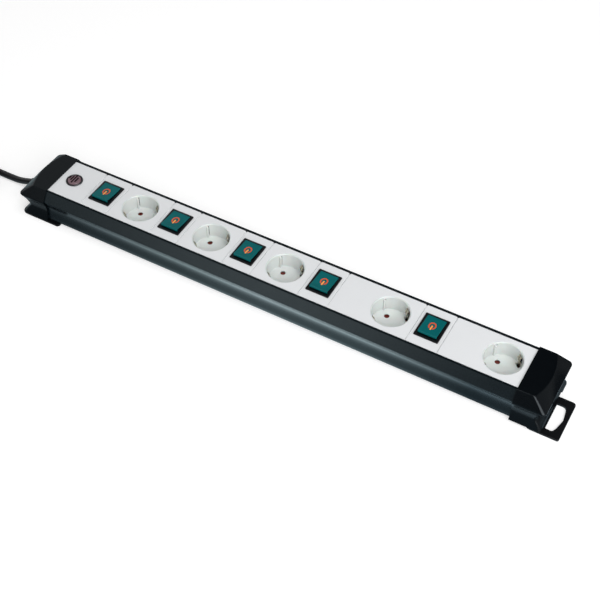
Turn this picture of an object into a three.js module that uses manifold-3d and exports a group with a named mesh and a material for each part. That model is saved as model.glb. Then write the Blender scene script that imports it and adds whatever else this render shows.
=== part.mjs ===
// A switched power strip: an extruded channel with five earthed sockets and five rocker switches,
// swivelling hanging brackets under its end caps, and a 3 m mains lead put away as a tied hank.
// Millimetres, +Z up, +X towards the end without the lead. The strip stands on z = 0.
import * as THREE from "three";
import { mergeVertices } from "three/addons/utils/BufferGeometryUtils.js";
import startManifold from "manifold-3d";

const manifold = await startManifold();
manifold.setup();

// ---- Driving dimensions ----

// The row of face modules, from the end with the lead.
const BREAKER_LENGTH = 42.7;
const SWITCH_LENGTH = 34;
const SOCKET_LENGTH = 56.1;
const WIDE_SOCKET_LENGTH = 87.2;
const SOCKET_FROM_RIGHT = SOCKET_LENGTH / 2;
const ROW_UNDER_CAP = 2.4;
const ROW = [
  { kind: "breaker", length: BREAKER_LENGTH },
  { kind: "switch", length: SWITCH_LENGTH },
  { kind: "socket", length: SOCKET_LENGTH },
  { kind: "switch", length: SWITCH_LENGTH },
  { kind: "socket", length: SOCKET_LENGTH },
  { kind: "switch", length: SWITCH_LENGTH },
  { kind: "socket", length: SOCKET_LENGTH },
  { kind: "switch", length: SWITCH_LENGTH },
  { kind: "socket", length: WIDE_SOCKET_LENGTH },
  { kind: "switch", length: SWITCH_LENGTH },
  { kind: "socket", length: WIDE_SOCKET_LENGTH },
];
const ROW_LENGTH = ROW.reduce((sum, module) => sum + module.length, 0) - ROW_UNDER_CAP;

// Clearance between pieces that touch.
const GAP = 0.3;

// Sockets: round earthed type.
const RECESS_RADIUS = 19.5;
const RECESS_DEPTH = 17.5;
const RECESS_CHAMFER = 1;
const WELL_RADIUS = RECESS_RADIUS + 2;
const WELL_FLOOR = 2.2;
const SKIRT_WALL = 1.8;
const PIN_PITCH = 19;
const PIN_HOLE_RADIUS = 2.8;
const PIN_LINE_DEG = -45;
const SHUTTER_RADIUS = 13.2;
const SHUTTER_THICKNESS = 1.3;
const SHUTTER_TURN_DEG = 38;
const POST_RADIUS = 1.9;

// Face modules.
const PANEL_TOP = 41.5;
const PANEL_THICKNESS = 2.5;
const PANEL_HALF_WIDTH = RECESS_RADIUS + 6.75;
const PANEL_NOTCH = 1.2;
const PANEL_UNDER_CAP = 3;

// Channel section: half widths and heights.
const CHANNEL_BOTTOM = 4.2;
const CHANNEL_WALL = 1.8;
const CHANNEL_LIP_HALF = PANEL_HALF_WIDTH + GAP + 2.85;
const CHANNEL_EDGE_HALF = CHANNEL_LIP_HALF + 6.4;
const CHANNEL_EDGE_Z = PANEL_TOP - 11.1;
const CHANNEL_WAIST_HALF = CHANNEL_EDGE_HALF - 4.1;
const CHANNEL_WAIST_Z = 0.487 * CHANNEL_EDGE_Z;
const CHANNEL_FOOT_HALF = CHANNEL_WAIST_HALF + 1.5;
const CHANNEL_IN_CAP = 10;

// End cap: half widths, reach past the row and height of each level of its outline.
const CAP_REACH = 34;
const CAP_EDGE_HALF = CHANNEL_EDGE_HALF + 1.8;
const CAP_TOP_HALF = CHANNEL_LIP_HALF + 0.6;
const CAP_TOP_REACH = CAP_REACH - 15;
const CAP_TOP_BOW = 5.5;
const CAP_TOP = PANEL_TOP + 1.3;
const CAP_EDGE_TOP = CHANNEL_EDGE_Z + 0.4;
const CAP_EDGE_BOTTOM = CAP_EDGE_TOP - 2.6;
const CAP_WAIST_HALF = CHANNEL_WAIST_HALF + 2.1;
const CAP_WAIST_REACH = CAP_REACH - 9.5;
const CAP_WAIST_Z = CHANNEL_WAIST_Z + 0.2;
const CAP_CORNER = 6;
const CAP_POCKET_HEIGHT = 2.7;
const CAP_FOOT_FROM = 21.5;
const CAP_SCREW_X = 5;
const CAP_SCREW_Y = 28;
const SCREW_HOLE_RADIUS = 1.8;

// Rocker switches.
const BEZEL_SIZE = [26.5, 31.7];
const BEZEL_THICKNESS = 1;
const BEZEL_OPENING = [21.2, 27];
const HOUSING_SIZE = [22.6, 30];
const ROCKER_SIZE = [20.6, 25.4];
const ROCKER_FACE_HEIGHT = 5;
const ROCKER_TILT_DEG = 6;
const ROCKER_PIVOT_Z = PANEL_TOP - 2;
const HOUSING_FLOOR_Z = ROCKER_PIVOT_Z - 9.5;

// Circuit breaker with its reset button.
const BREAKER_X = 16.75;
const BREAKER_RING_RADIUS = 9.5;
const BREAKER_BARREL_RADIUS = 7.8;
const BUTTON_RADIUS = 6.9;

// Conductors under the modules.
const BAR_TOP = PANEL_TOP - RECESS_DEPTH - WELL_FLOOR - SHUTTER_THICKNESS - 4.5;
const BAR_BOTTOM = Math.max(BAR_TOP - 6, CHANNEL_BOTTOM + CHANNEL_WALL + GAP);
const BAR_THICKNESS = 1;
const OUTER_BAR_Y = 14;

// Hanging brackets, measured from the pivot of the right one as it sticks out.
const PIVOT_X = 26;
const PIVOT_Y = -27;
const BRACKET_THICKNESS = 2.4;
const BRACKET_OUT = 25.5;
const BRACKET_BACK = -10;
const BRACKET_NEAR = -9.5;
const BRACKET_FAR = 41;
const LOOP = { x0: 8.5, x1: 19.6, y0: -1, y1: 32 };
const RIVET_HEAD_RADIUS = 5;
const RIVET_SHANK_RADIUS = 2.5;

// Mains lead. Its places along X are measured from the waist of the left cap, where it comes out.
const CORD_DIAMETER = 7.5;
const CORD_RADIUS = CORD_DIAMETER / 2;
const EXIT_Z = CAP_WAIST_Z;
const BOOT_END = 22.5;
const STEM_RADIUS = 5;
const FLANGE_RADIUS = 7.3;
const HANK_INNER_RADIUS = 24;
const HANK_OUTER_RADIUS = HANK_INNER_RADIUS + CORD_DIAMETER;
const HANK_LAYERS = 4;
const HANK_STRAIGHT = 108;
const HANK_LIFT = 1.3;
const HANK_RIGHT_CENTRE = -99.5;
const TIE_WIDTH = 16;
const TIE_THICKNESS = 1;
const PLUG_X = -313.5;
const PLUG_RADIUS = 18.4;
const PLUG_BOOT_LENGTH = 24;
const PLUG_AXIS_Z = 8;

// The strip is centred on x = 0 from its left cap to the tip of the right bracket.
const BRACKET_TIP = PIVOT_X + BRACKET_OUT;
const ROW_START = -(CAP_REACH + ROW_LENGTH + BRACKET_TIP) / 2 + CAP_REACH;
const ROW_END = ROW_START + ROW_LENGTH;
const EXIT_X = ROW_START - CAP_WAIST_REACH;

// ---- Materials ----

function material(colour, roughness, metalness = 0) {
  return new THREE.MeshStandardMaterial({ color: colour, roughness, metalness });
}

const WHITE_PLASTIC = material(0xdfe3e4, 0.45);
const ANTHRACITE = material(0x30353a, 0.4, 0.3);
const BLACK_PLASTIC = material(0x121417, 0.45);
const BLACK_RUBBER = material(0x0d0d0e, 0.65);
const TEAL = material(0x0c6f70, 0.3);
const SMOKED_RED = material(0x5a2a30, 0.25);
const SHUTTER_BROWN = material(0x8a3a24, 0.5);
const SPRING_STEEL = material(0xb9bcbd, 0.3, 1);
const BRASS = material(0xb5954f, 0.35, 1);

// ---- Solids ----

function solid(geometry) {
  const bare = new THREE.BufferGeometry();
  const source = geometry.index ? geometry.toNonIndexed() : geometry;
  bare.setAttribute("position", source.getAttribute("position"));
  const merged = mergeVertices(bare, 1e-4);
  const made = new manifold.Manifold(
    new manifold.Mesh({
      numProp: 3,
      vertProperties: merged.attributes.position.array,
      triVerts: new Uint32Array(merged.index.array),
    }),
  );
  return made.volume() < 0 ? solid(reversed(merged)) : made;
}

function reversed(geometry) {
  const faces = geometry.index.array;
  for (let i = 0; i < faces.length; i += 3) {
    [faces[i + 1], faces[i + 2]] = [faces[i + 2], faces[i + 1]];
  }
  return geometry;
}

function geometryOf(body, place) {
  const mesh = body.getMesh();
  const geometry = new THREE.BufferGeometry();
  geometry.setAttribute("position", new THREE.BufferAttribute(mesh.vertProperties.slice(), 3));
  geometry.setIndex(new THREE.BufferAttribute(mesh.triVerts.slice(), 1));
  if (place.determinant() < 0) reversed(geometry);
  const flat = geometry.applyMatrix4(place).toNonIndexed();
  flat.computeVertexNormals();
  return flat;
}

function joined(...bodies) {
  return bodies.reduce((whole, body) => whole.add(body));
}

function cut(body, ...tools) {
  return tools.reduce((left, tool) => left.subtract(tool), body);
}

function box(x0, x1, y0, y1, z0, z1) {
  const geometry = new THREE.BoxGeometry(x1 - x0, y1 - y0, z1 - z0);
  return solid(geometry.translate((x0 + x1) / 2, (y0 + y1) / 2, (z0 + z1) / 2));
}

function upright(radius, z0, z1, x = 0, y = 0, sides = 16) {
  const geometry = new THREE.CylinderGeometry(radius, radius, z1 - z0, sides);
  return solid(geometry.rotateX(Math.PI / 2).translate(x, y, (z0 + z1) / 2));
}

function lying(radius, x0, x1, y, z, sides = 20) {
  const geometry = new THREE.CylinderGeometry(radius, radius, x1 - x0, sides);
  return solid(geometry.rotateZ(Math.PI / 2).translate((x0 + x1) / 2, y, z));
}

function turned(profile, sides = 24) {
  const points = profile.map(([radius, height]) => new THREE.Vector2(radius, height));
  points.push(points[0]);
  return solid(new THREE.LatheGeometry(points, sides).rotateX(Math.PI / 2));
}

function outline(points) {
  return new THREE.Shape(points.map(([x, y]) => new THREE.Vector2(x, y)));
}

function roundedRectangle(x0, x1, y0, y1, radius, path = new THREE.Shape()) {
  path.moveTo(x0 + radius, y0);
  path.lineTo(x1 - radius, y0);
  path.absarc(x1 - radius, y0 + radius, radius, -Math.PI / 2, 0);
  path.lineTo(x1, y1 - radius);
  path.absarc(x1 - radius, y1 - radius, radius, 0, Math.PI / 2);
  path.lineTo(x0 + radius, y1);
  path.absarc(x0 + radius, y1 - radius, radius, Math.PI / 2, Math.PI);
  path.lineTo(x0, y0 + radius);
  path.absarc(x0 + radius, y0 + radius, radius, Math.PI, 1.5 * Math.PI);
  return path;
}

function plate(shape, z0, z1, curveSegments = 6) {
  const settings = { depth: z1 - z0, bevelEnabled: false, curveSegments };
  return solid(new THREE.ExtrudeGeometry(shape, settings).translate(0, 0, z0));
}

// A section drawn in Y and Z, run along X.
function alongX(shape, x0, x1, curveSegments = 6) {
  const settings = { depth: x1 - x0, bevelEnabled: false, curveSegments };
  const turn = new THREE.Matrix4().makeBasis(
    new THREE.Vector3(0, 1, 0),
    new THREE.Vector3(0, 0, 1),
    new THREE.Vector3(1, 0, 0),
  );
  return solid(new THREE.ExtrudeGeometry(shape, settings).applyMatrix4(turn).translate(x0, 0, 0));
}

// Rings with the same number of points, skinned in order and closed at both ends.
function skinned(rings) {
  const count = rings[0].length;
  const positions = rings.flat().flatMap((point) => [point.x, point.y, point.z]);
  const faces = [];
  for (let ring = 0; ring + 1 < rings.length; ring += 1) {
    for (let i = 0; i < count; i += 1) {
      const a = ring * count + i;
      const b = ring * count + ((i + 1) % count);
      faces.push(a, b, b + count, a, b + count, a + count);
    }
  }
  const last = (rings.length - 1) * count;
  for (let i = 1; i + 1 < count; i += 1) {
    faces.push(0, i + 1, i);
    faces.push(last, last + i, last + i + 1);
  }
  const geometry = new THREE.BufferGeometry();
  geometry.setAttribute("position", new THREE.Float32BufferAttribute(positions, 3));
  geometry.setIndex(faces);
  return solid(geometry);
}

const part = new THREE.Group();

function at(x, y = 0, z = 0) {
  return new THREE.Matrix4().makeTranslation(x, y, z);
}

function addNode(name, body, look, place = at(0)) {
  const mesh = new THREE.Mesh(geometryOf(body, place), look);
  mesh.name = name;
  part.add(mesh);
}

// ---- Channel: one extrusion, open at the top, with a ledge for the modules inside each wall ----

function channelHalfSection() {
  const wall = CHANNEL_WALL;
  const top = PANEL_TOP;
  const inner = PANEL_HALF_WIDTH + GAP;
  const ledge = top - PANEL_THICKNESS - GAP;
  const rise = CHANNEL_EDGE_Z - CHANNEL_WAIST_Z;
  return [
    [0, CHANNEL_BOTTOM],
    [CHANNEL_FOOT_HALF - 1, CHANNEL_BOTTOM],
    [CHANNEL_FOOT_HALF, CHANNEL_BOTTOM + 1.2],
    [CHANNEL_WAIST_HALF + 0.4, 0.73 * CHANNEL_WAIST_Z],
    [CHANNEL_WAIST_HALF, CHANNEL_WAIST_Z],
    [CHANNEL_WAIST_HALF + 0.3, CHANNEL_WAIST_Z + 0.26 * rise],
    [CHANNEL_WAIST_HALF + 1.4, CHANNEL_WAIST_Z + 0.54 * rise],
    [CHANNEL_EDGE_HALF - 1.2, CHANNEL_WAIST_Z + 0.81 * rise],
    [CHANNEL_EDGE_HALF, CHANNEL_EDGE_Z],
    [CHANNEL_EDGE_HALF - 0.4, CHANNEL_EDGE_Z + 1.4],
    [CHANNEL_LIP_HALF, top - 1.6],
    [CHANNEL_LIP_HALF - 1, top - 0.5],
    [inner + 0.6, top],
    [inner, top - 0.4],
    [inner, ledge],
    [inner - 2.6, ledge],
    [inner - 2.6, ledge - 1.4],
    [CHANNEL_LIP_HALF - wall, ledge - 2.6],
    [CHANNEL_EDGE_HALF - wall - 0.4, CHANNEL_EDGE_Z],
    [CHANNEL_WAIST_HALF + 1.4 - wall, CHANNEL_WAIST_Z + 0.54 * rise],
    [CHANNEL_WAIST_HALF - wall, CHANNEL_WAIST_Z],
    [CHANNEL_FOOT_HALF - wall - 1, CHANNEL_BOTTOM + wall],
    [0, CHANNEL_BOTTOM + wall],
  ];
}

function mirroredSection(half) {
  const left = half.slice(1, -1).map(([y, z]) => [-y, z]).reverse();
  return [...half, ...left];
}

function channelScrewHole(x) {
  return upright(SCREW_HOLE_RADIUS, 0, 12, x, CAP_SCREW_Y, 12);
}

const channelSection = outline(mirroredSection(channelHalfSection()));
addNode(
  "channel_body",
  cut(
    alongX(channelSection, ROW_START - CHANNEL_IN_CAP, ROW_END + CHANNEL_IN_CAP),
    channelScrewHole(ROW_START - CAP_SCREW_X),
    channelScrewHole(ROW_END + CAP_SCREW_X),
  ),
  ANTHRACITE,
);

// ---- Face plates ----

// A plate with a small snap notch at each back corner. It runs from x0 to x1.
function facePlate(x0, x1) {
  const half = PANEL_HALF_WIDTH;
  const shape = outline([
    [x0, -half],
    [x1, -half],
    [x1, half - PANEL_NOTCH],
    [x1 - PANEL_NOTCH, half],
    [x0 + PANEL_NOTCH, half],
    [x0, half - PANEL_NOTCH],
  ]);
  return plate(shape, PANEL_TOP - PANEL_THICKNESS, PANEL_TOP);
}

// ---- Socket: plate, round recess, guide ribs, and a skirt that stands on the channel floor ----

const FLOOR_TOP = PANEL_TOP - RECESS_DEPTH;
const FLOOR_UNDER = FLOOR_TOP - WELL_FLOOR;
const PIN_OFFSET = PIN_PITCH / 2 / Math.SQRT2;
const EARTH_RADIUS = RECESS_RADIUS - 0.8;

function socketModule(x0, x1) {
  const skirtBottom = CHANNEL_BOTTOM + CHANNEL_WALL + GAP;
  const well = turned([
    [0, FLOOR_UNDER],
    [WELL_RADIUS - SKIRT_WALL, FLOOR_UNDER],
    [WELL_RADIUS - SKIRT_WALL, skirtBottom],
    [WELL_RADIUS, skirtBottom],
    [WELL_RADIUS, PANEL_TOP],
    [RECESS_RADIUS + RECESS_CHAMFER, PANEL_TOP],
    [RECESS_RADIUS, PANEL_TOP - RECESS_CHAMFER],
    [RECESS_RADIUS, FLOOR_TOP],
    [0, FLOOR_TOP],
  ], 28);
  const opened = cut(
    facePlate(x0, x1),
    upright(WELL_RADIUS - 0.4, PANEL_TOP - 10, PANEL_TOP + 10, 0, 0, 28),
  );
  const notches = [-OUTER_BAR_Y, -PIN_OFFSET, PIN_OFFSET, OUTER_BAR_Y].map((y) =>
    box(-30, 30, y - BAR_THICKNESS / 2 - GAP, y + BAR_THICKNESS / 2 + GAP, 0, BAR_TOP + GAP),
  );
  const pinHoles = [-1, 1].map((side) =>
    upright(PIN_HOLE_RADIUS, FLOOR_UNDER - 1, FLOOR_TOP + 1, side * PIN_OFFSET, -side * PIN_OFFSET, 14),
  );
  const earthSlots = [-1, 1].map((side) =>
    solid(
      new THREE.BoxGeometry(1.5, 5.8, WELL_FLOOR + 2)
        .translate(side * (EARTH_RADIUS - 0.1), 0, FLOOR_TOP - WELL_FLOOR / 2)
        .rotateZ(Math.PI / 4),
    ),
  );
  const ribs = [-1, 1].map((side) =>
    solid(
      new THREE.BoxGeometry(2.2, 4.6, RECESS_DEPTH - 3 + 0.5)
        .translate(side * (RECESS_RADIUS - 0.5), 0, FLOOR_TOP + (RECESS_DEPTH - 3 - 0.5) / 2)
        .rotateZ(THREE.MathUtils.degToRad(PIN_LINE_DEG)),
    ),
  );
  const post = upright(POST_RADIUS, FLOOR_UNDER - SHUTTER_THICKNESS - 3, FLOOR_UNDER + 0.5, 0, 0, 10);
  return cut(joined(opened, well, post, ...ribs), ...pinHoles, ...earthSlots, ...notches);
}

// The earth strip passes under the recess and ends in a springy clip at each side of it.
function earthContact() {
  const bottom = FLOOR_UNDER - SHUTTER_THICKNESS - 2 * GAP - 0.8;
  const out = EARTH_RADIUS + 0.35;
  const inn = out - 0.8;
  const half = [
    [out, bottom],
    [out, PANEL_TOP - 12],
    [out - 1.5, PANEL_TOP - 7.5],
    [out, PANEL_TOP - 3],
    [inn, PANEL_TOP - 3],
    [inn - 1.5, PANEL_TOP - 7.5],
    [inn, PANEL_TOP - 12],
    [inn, bottom + 0.8],
  ];
  const shape = outline([...half, ...half.map(([x, z]) => [-x, z]).reverse()]);
  const settings = { depth: 5, bevelEnabled: false };
  const strip = new THREE.ExtrudeGeometry(shape, settings)
    .translate(0, 0, -2.5)
    .rotateX(Math.PI / 2)
    .rotateZ(Math.PI / 4);
  return cut(solid(strip), upright(POST_RADIUS + GAP, 0, 30, 0, 0, 10));
}

// The child-protection disc stands turned away from the pin holes until a plug turns it.
function shutter() {
  const top = FLOOR_UNDER - GAP;
  const angle = THREE.MathUtils.degToRad(PIN_LINE_DEG + SHUTTER_TURN_DEG);
  const reach = PIN_PITCH / 2;
  const holes = [-1, 1].map((side) =>
    upright(PIN_HOLE_RADIUS + 0.1, 0, 30, side * reach * Math.cos(angle), side * reach * Math.sin(angle), 12),
  );
  return cut(
    upright(SHUTTER_RADIUS, top - SHUTTER_THICKNESS, top, 0, 0, 24),
    upright(POST_RADIUS + GAP, 0, 30, 0, 0, 10),
    ...holes,
  );
}

// ---- Switch: plate with a cut-out, a housing with its bezel, and the rocker ----

function switchModule(x0, x1) {
  const [x, y] = [HOUSING_SIZE[0] / 2 + GAP, HOUSING_SIZE[1] / 2 + GAP];
  return cut(facePlate(x0, x1), box(-x, x, -y, y, PANEL_TOP - 10, PANEL_TOP + 10));
}

function switchHousing() {
  const bezelBottom = PANEL_TOP + GAP;
  const bezel = roundedRectangle(
    -BEZEL_SIZE[0] / 2, BEZEL_SIZE[0] / 2, -BEZEL_SIZE[1] / 2, BEZEL_SIZE[1] / 2, 0.8,
  );
  const [x, y] = [HOUSING_SIZE[0] / 2, HOUSING_SIZE[1] / 2];
  const [u, v] = [BEZEL_OPENING[0] / 2, BEZEL_OPENING[1] / 2];
  return cut(
    joined(
      plate(bezel, bezelBottom, bezelBottom + BEZEL_THICKNESS, 3),
      box(-x, x, -y, y, BAR_TOP + GAP, bezelBottom + 0.5),
    ),
    box(-u, u, -v, v, HOUSING_FLOOR_Z, PANEL_TOP + 10),
  );
}

function rocker() {
  const [width, length] = ROCKER_SIZE;
  const half = length / 2;
  const section = outline([
    [-half, ROCKER_FACE_HEIGHT + 0.5],
    [-half, -1.5],
    [-5.5, -6],
    [5.5, -6],
    [half, -1.5],
    [half, ROCKER_FACE_HEIGHT + 0.5],
    [half / 2, ROCKER_FACE_HEIGHT + 0.1],
    [0, ROCKER_FACE_HEIGHT],
    [-half / 2, ROCKER_FACE_HEIGHT + 0.1],
  ]);
  return alongX(section, -width / 2, width / 2);
}

function rockerPlace(x) {
  const tilt = new THREE.Matrix4().makeRotationX(THREE.MathUtils.degToRad(-ROCKER_TILT_DEG));
  return at(x, 0, ROCKER_PIVOT_Z).multiply(tilt);
}

// ---- Breaker: face plate with a round hole, barrel with its ring, and the reset button ----

const BREAKER_RING_TOP = PANEL_TOP + GAP + 1.2;
const BUTTON_TOP = BREAKER_RING_TOP + 0.8;
const BUTTON_FLOOR = PANEL_TOP - 11.5;

function breakerBarrel() {
  const ringBottom = PANEL_TOP + GAP;
  const bore = BUTTON_RADIUS + GAP;
  return turned([
    [0, BUTTON_FLOOR - 6],
    [BREAKER_BARREL_RADIUS, BUTTON_FLOOR - 6],
    [BREAKER_BARREL_RADIUS, ringBottom],
    [BREAKER_RING_RADIUS, ringBottom],
    [BREAKER_RING_RADIUS, ringBottom + 0.6],
    [BREAKER_RING_RADIUS - 0.6, BREAKER_RING_TOP],
    [bore + 0.4, BREAKER_RING_TOP],
    [bore, BREAKER_RING_TOP - 0.4],
    [bore, BUTTON_FLOOR],
    [0, BUTTON_FLOOR],
  ], 20);
}

function resetButton() {
  const body = turned([
    [0, BUTTON_FLOOR + 4],
    [BUTTON_RADIUS, BUTTON_FLOOR + 4],
    [BUTTON_RADIUS, BUTTON_TOP - 0.8],
    [BUTTON_RADIUS - 1.2, BUTTON_TOP],
    [0, BUTTON_TOP],
  ], 28);
  const grooves = [-3, -1, 1, 3].map((x) => box(x - 0.4, x + 0.4, -4, 4, BUTTON_TOP - 0.6, BUTTON_TOP + 1));
  return cut(body, ...grooves);
}

// ---- The row ----

let moduleStart = ROW_START;
let switchNumber = 0;
let socketNumber = 0;
const switchCentres = [];
const socketCentres = [];
const breakerX = ROW_START + BREAKER_X;
ROW.forEach((module, index) => {
  const first = index === 0;
  const last = index === ROW.length - 1;
  const x0 = moduleStart + (first ? -PANEL_UNDER_CAP : GAP / 2);
  const right = moduleStart + module.length;
  const x1 = last ? ROW_END + PANEL_UNDER_CAP : right - GAP / 2;
  if (module.kind === "breaker") {
    const hole = upright(BREAKER_BARREL_RADIUS + GAP, PANEL_TOP - 10, PANEL_TOP + 10, breakerX, 0, 24);
    addNode("breaker_module", cut(facePlate(x0, x1), hole), WHITE_PLASTIC);
  }
  if (module.kind === "switch") {
    const centre = (moduleStart + right) / 2;
    switchNumber += 1;
    switchCentres.push(centre);
    const plateBody = switchModule(x0 - centre, x1 - centre);
    addNode(`switch_module_${switchNumber}`, plateBody, WHITE_PLASTIC, at(centre));
    addNode(`switch_housing_${switchNumber}`, switchHousing(), BLACK_PLASTIC, at(centre));
    addNode(`rocker_${switchNumber}`, rocker(), TEAL, rockerPlace(centre));
  }
  if (module.kind === "socket") {
    const centre = right - SOCKET_FROM_RIGHT;
    socketNumber += 1;
    socketCentres.push(centre);
    const moulding = socketModule(x0 - centre, x1 - centre);
    addNode(`socket_module_${socketNumber}`, moulding, WHITE_PLASTIC, at(centre));
    addNode(`earth_contact_${socketNumber}`, earthContact(), SPRING_STEEL, at(centre));
    addNode(`shutter_${socketNumber}`, shutter(), SHUTTER_BROWN, at(centre));
  }
  moduleStart = right;
});
addNode("breaker_barrel", breakerBarrel(), BLACK_PLASTIC, at(breakerX));
addNode("reset_button", resetButton(), SMOKED_RED, at(breakerX));

// ---- Conductors: strips on edge, held in the notches of the socket skirts ----

const SLEEVE_TOP = FLOOR_UNDER - SHUTTER_THICKNESS - 2 * GAP - 0.6;

function barAt(x0, x1, y) {
  return box(x0, x1, y - BAR_THICKNESS / 2, y + BAR_THICKNESS / 2, BAR_BOTTOM, BAR_TOP);
}

function sleevesOn(bar, spots) {
  const tubes = spots.map(([x, y]) => upright(3.4, BAR_BOTTOM, SLEEVE_TOP, x, y, 10));
  const bores = spots.map(([x, y]) => upright(2.5, BAR_BOTTOM - 1, SLEEVE_TOP + 1, x, y, 10));
  return cut(joined(bar, ...tubes), ...bores);
}

const lastSocket = socketCentres[socketCentres.length - 1];
addNode(
  "neutral_bar",
  sleevesOn(
    barAt(ROW_START + 6, lastSocket - PIN_OFFSET, PIN_OFFSET),
    socketCentres.map((x) => [x - PIN_OFFSET, PIN_OFFSET]),
  ),
  BRASS,
);
addNode("earth_bar", barAt(ROW_START + 6, lastSocket + 16, OUTER_BAR_Y), BRASS);
addNode("live_feed_bar", barAt(breakerX - 6, switchCentres[4] + 8, -OUTER_BAR_Y), BRASS);
socketCentres.forEach((x, i) => {
  const spot = [x + PIN_OFFSET, -PIN_OFFSET];
  const bar = barAt(switchCentres[i] - 6, spot[0], -PIN_OFFSET);
  addNode(`live_contact_${i + 1}`, sleevesOn(bar, [spot]), BRASS);
});

// ---- End caps ----

// The cap's outline at one level: a straight inner side and an outer end with rounded corners,
// bowed outwards in the middle.
function capLevel(z, half, reach, bow) {
  const straight = half - CAP_CORNER;
  const points = [new THREE.Vector3(0, -half, z), new THREE.Vector3(reach - CAP_CORNER, -half, z)];
  for (const turn of [-60, -30]) {
    const angle = THREE.MathUtils.degToRad(turn);
    points.push(new THREE.Vector3(
      reach - CAP_CORNER + CAP_CORNER * Math.cos(angle), -straight + CAP_CORNER * Math.sin(angle), z,
    ));
  }
  for (let i = -4; i <= 4; i += 1) {
    const along = i / 4;
    points.push(new THREE.Vector3(reach + bow * (1 - along * along), along * straight, z));
  }
  for (const turn of [30, 60]) {
    const angle = THREE.MathUtils.degToRad(turn);
    points.push(new THREE.Vector3(
      reach - CAP_CORNER + CAP_CORNER * Math.cos(angle), straight + CAP_CORNER * Math.sin(angle), z,
    ));
  }
  points.push(new THREE.Vector3(reach - CAP_CORNER, half, z), new THREE.Vector3(0, half, z));
  return points;
}

// The right cap, measured from the end of the row, without anything for the lead.
function cap() {
  const midReach = (CAP_REACH + CAP_WAIST_REACH) / 2;
  const shoulderZ = 0.43 * CAP_WAIST_Z + 0.57 * CAP_EDGE_BOTTOM;
  const shell = skinned([
    capLevel(0, CAP_EDGE_HALF - 0.2, CAP_REACH, 0),
    capLevel(1.6, CAP_EDGE_HALF - 0.2, CAP_REACH, 0),
    capLevel(0.53 * CAP_WAIST_Z, CAP_WAIST_HALF + 1.2, midReach + 0.8, 0),
    capLevel(CAP_WAIST_Z, CAP_WAIST_HALF, CAP_WAIST_REACH, 0),
    capLevel(shoulderZ, CAP_WAIST_HALF + 1.2, midReach - 0.6, 0),
    capLevel(CAP_EDGE_BOTTOM, CAP_EDGE_HALF - 0.2, CAP_REACH - 0.6, 0),
    capLevel((CAP_EDGE_BOTTOM + CAP_EDGE_TOP) / 2, CAP_EDGE_HALF, CAP_REACH, 0),
    capLevel(CAP_EDGE_TOP, CAP_EDGE_HALF - 0.2, CAP_REACH - 0.4, 0.4),
    capLevel(CAP_TOP, CAP_TOP_HALF, CAP_TOP_REACH, CAP_TOP_BOW),
  ]);
  const envelope = channelHalfSection().slice(0, 13).map(([y, z]) => [y > 0 ? y + GAP : 0, z]);
  envelope[0][1] -= GAP;
  envelope[1][1] -= GAP;
  envelope[12][1] += GAP;
  const pocketHalf = [...envelope, [0, PANEL_TOP + GAP]];
  const pocket = alongX(outline(mirroredSection(pocketHalf)), -5, CHANNEL_IN_CAP + GAP);
  const wiringFloor = Math.min(CHANNEL_BOTTOM + 2.8, EXIT_Z - FLANGE_RADIUS - 2 * GAP);
  const wiring = box(0, CAP_TOP_REACH, -24, 24, wiringFloor, CHANNEL_EDGE_Z + 5.6);
  const sweep = box(-5, 60, -60, CAP_FOOT_FROM, -1, CAP_POCKET_HEIGHT);
  const rivetHole = upright(RIVET_SHANK_RADIUS + GAP, 0, 6.2, PIVOT_X, PIVOT_Y, 14);
  const screwHole = joined(
    upright(SCREW_HOLE_RADIUS, -1, 6, CAP_SCREW_X, CAP_SCREW_Y, 12),
    upright(2 * SCREW_HOLE_RADIUS, -1, 2.4, CAP_SCREW_X, CAP_SCREW_Y, 16),
  );
  return cut(shell, pocket, wiring, sweep, rivetHole, screwHole);
}

function leadOpening() {
  const neck = lying(STEM_RADIUS + GAP, CAP_TOP_REACH - 4, CAP_REACH + 6, 0, EXIT_Z);
  const seat = lying(FLANGE_RADIUS + GAP, CAP_WAIST_REACH + 0.5, CAP_REACH + 11, 0, EXIT_Z);
  return joined(neck, seat);
}

// Turns a piece of the right end into the matching piece of the left end.
function mirroredAt(x, y = 0) {
  return at(x, y).scale(new THREE.Vector3(-1, 1, 1));
}

addNode("right_cap", cap(), BLACK_PLASTIC, at(ROW_END));
addNode("left_cap", cut(cap(), leadOpening()), BLACK_PLASTIC, mirroredAt(ROW_START));

// A self-tapping screw through the cap's foot into the floor of the channel.
function capScrew() {
  return turned([
    [0, 0.4],
    [1.2, 1],
    [1.4, 0.4],
    [3.2, 0.4],
    [3.2, 2.1],
    [1.5, 2.1],
    [1.5, 9],
    [0.4, 10.5],
    [0, 10.5],
  ], 12);
}

addNode("left_cap_screw", capScrew(), SPRING_STEEL, at(ROW_START - CAP_SCREW_X, CAP_SCREW_Y));
addNode("right_cap_screw", capScrew(), SPRING_STEEL, at(ROW_END + CAP_SCREW_X, CAP_SCREW_Y));

// ---- Hanging brackets ----

// The bracket as it sticks out of the right cap, with its pivot at the origin.
function bracket() {
  const shape = roundedRectangle(BRACKET_BACK, BRACKET_OUT, BRACKET_NEAR, BRACKET_FAR, 6);
  shape.holes.push(roundedRectangle(LOOP.x0, LOOP.x1, LOOP.y0, LOOP.y1, 4, new THREE.Path()));
  return cut(
    plate(shape, 0, BRACKET_THICKNESS, 4),
    upright(RIVET_SHANK_RADIUS + GAP, -1, 5, 0, 0, 14),
    upright(RIVET_HEAD_RADIUS + GAP, -1, 1.5, 0, 0, 20),
  );
}

function rivet() {
  return joined(
    upright(RIVET_HEAD_RADIUS, 0.2, 1.2, 0, 0, 20),
    upright(RIVET_SHANK_RADIUS, 1, 5.9, 0, 0, 14),
  );
}

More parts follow.
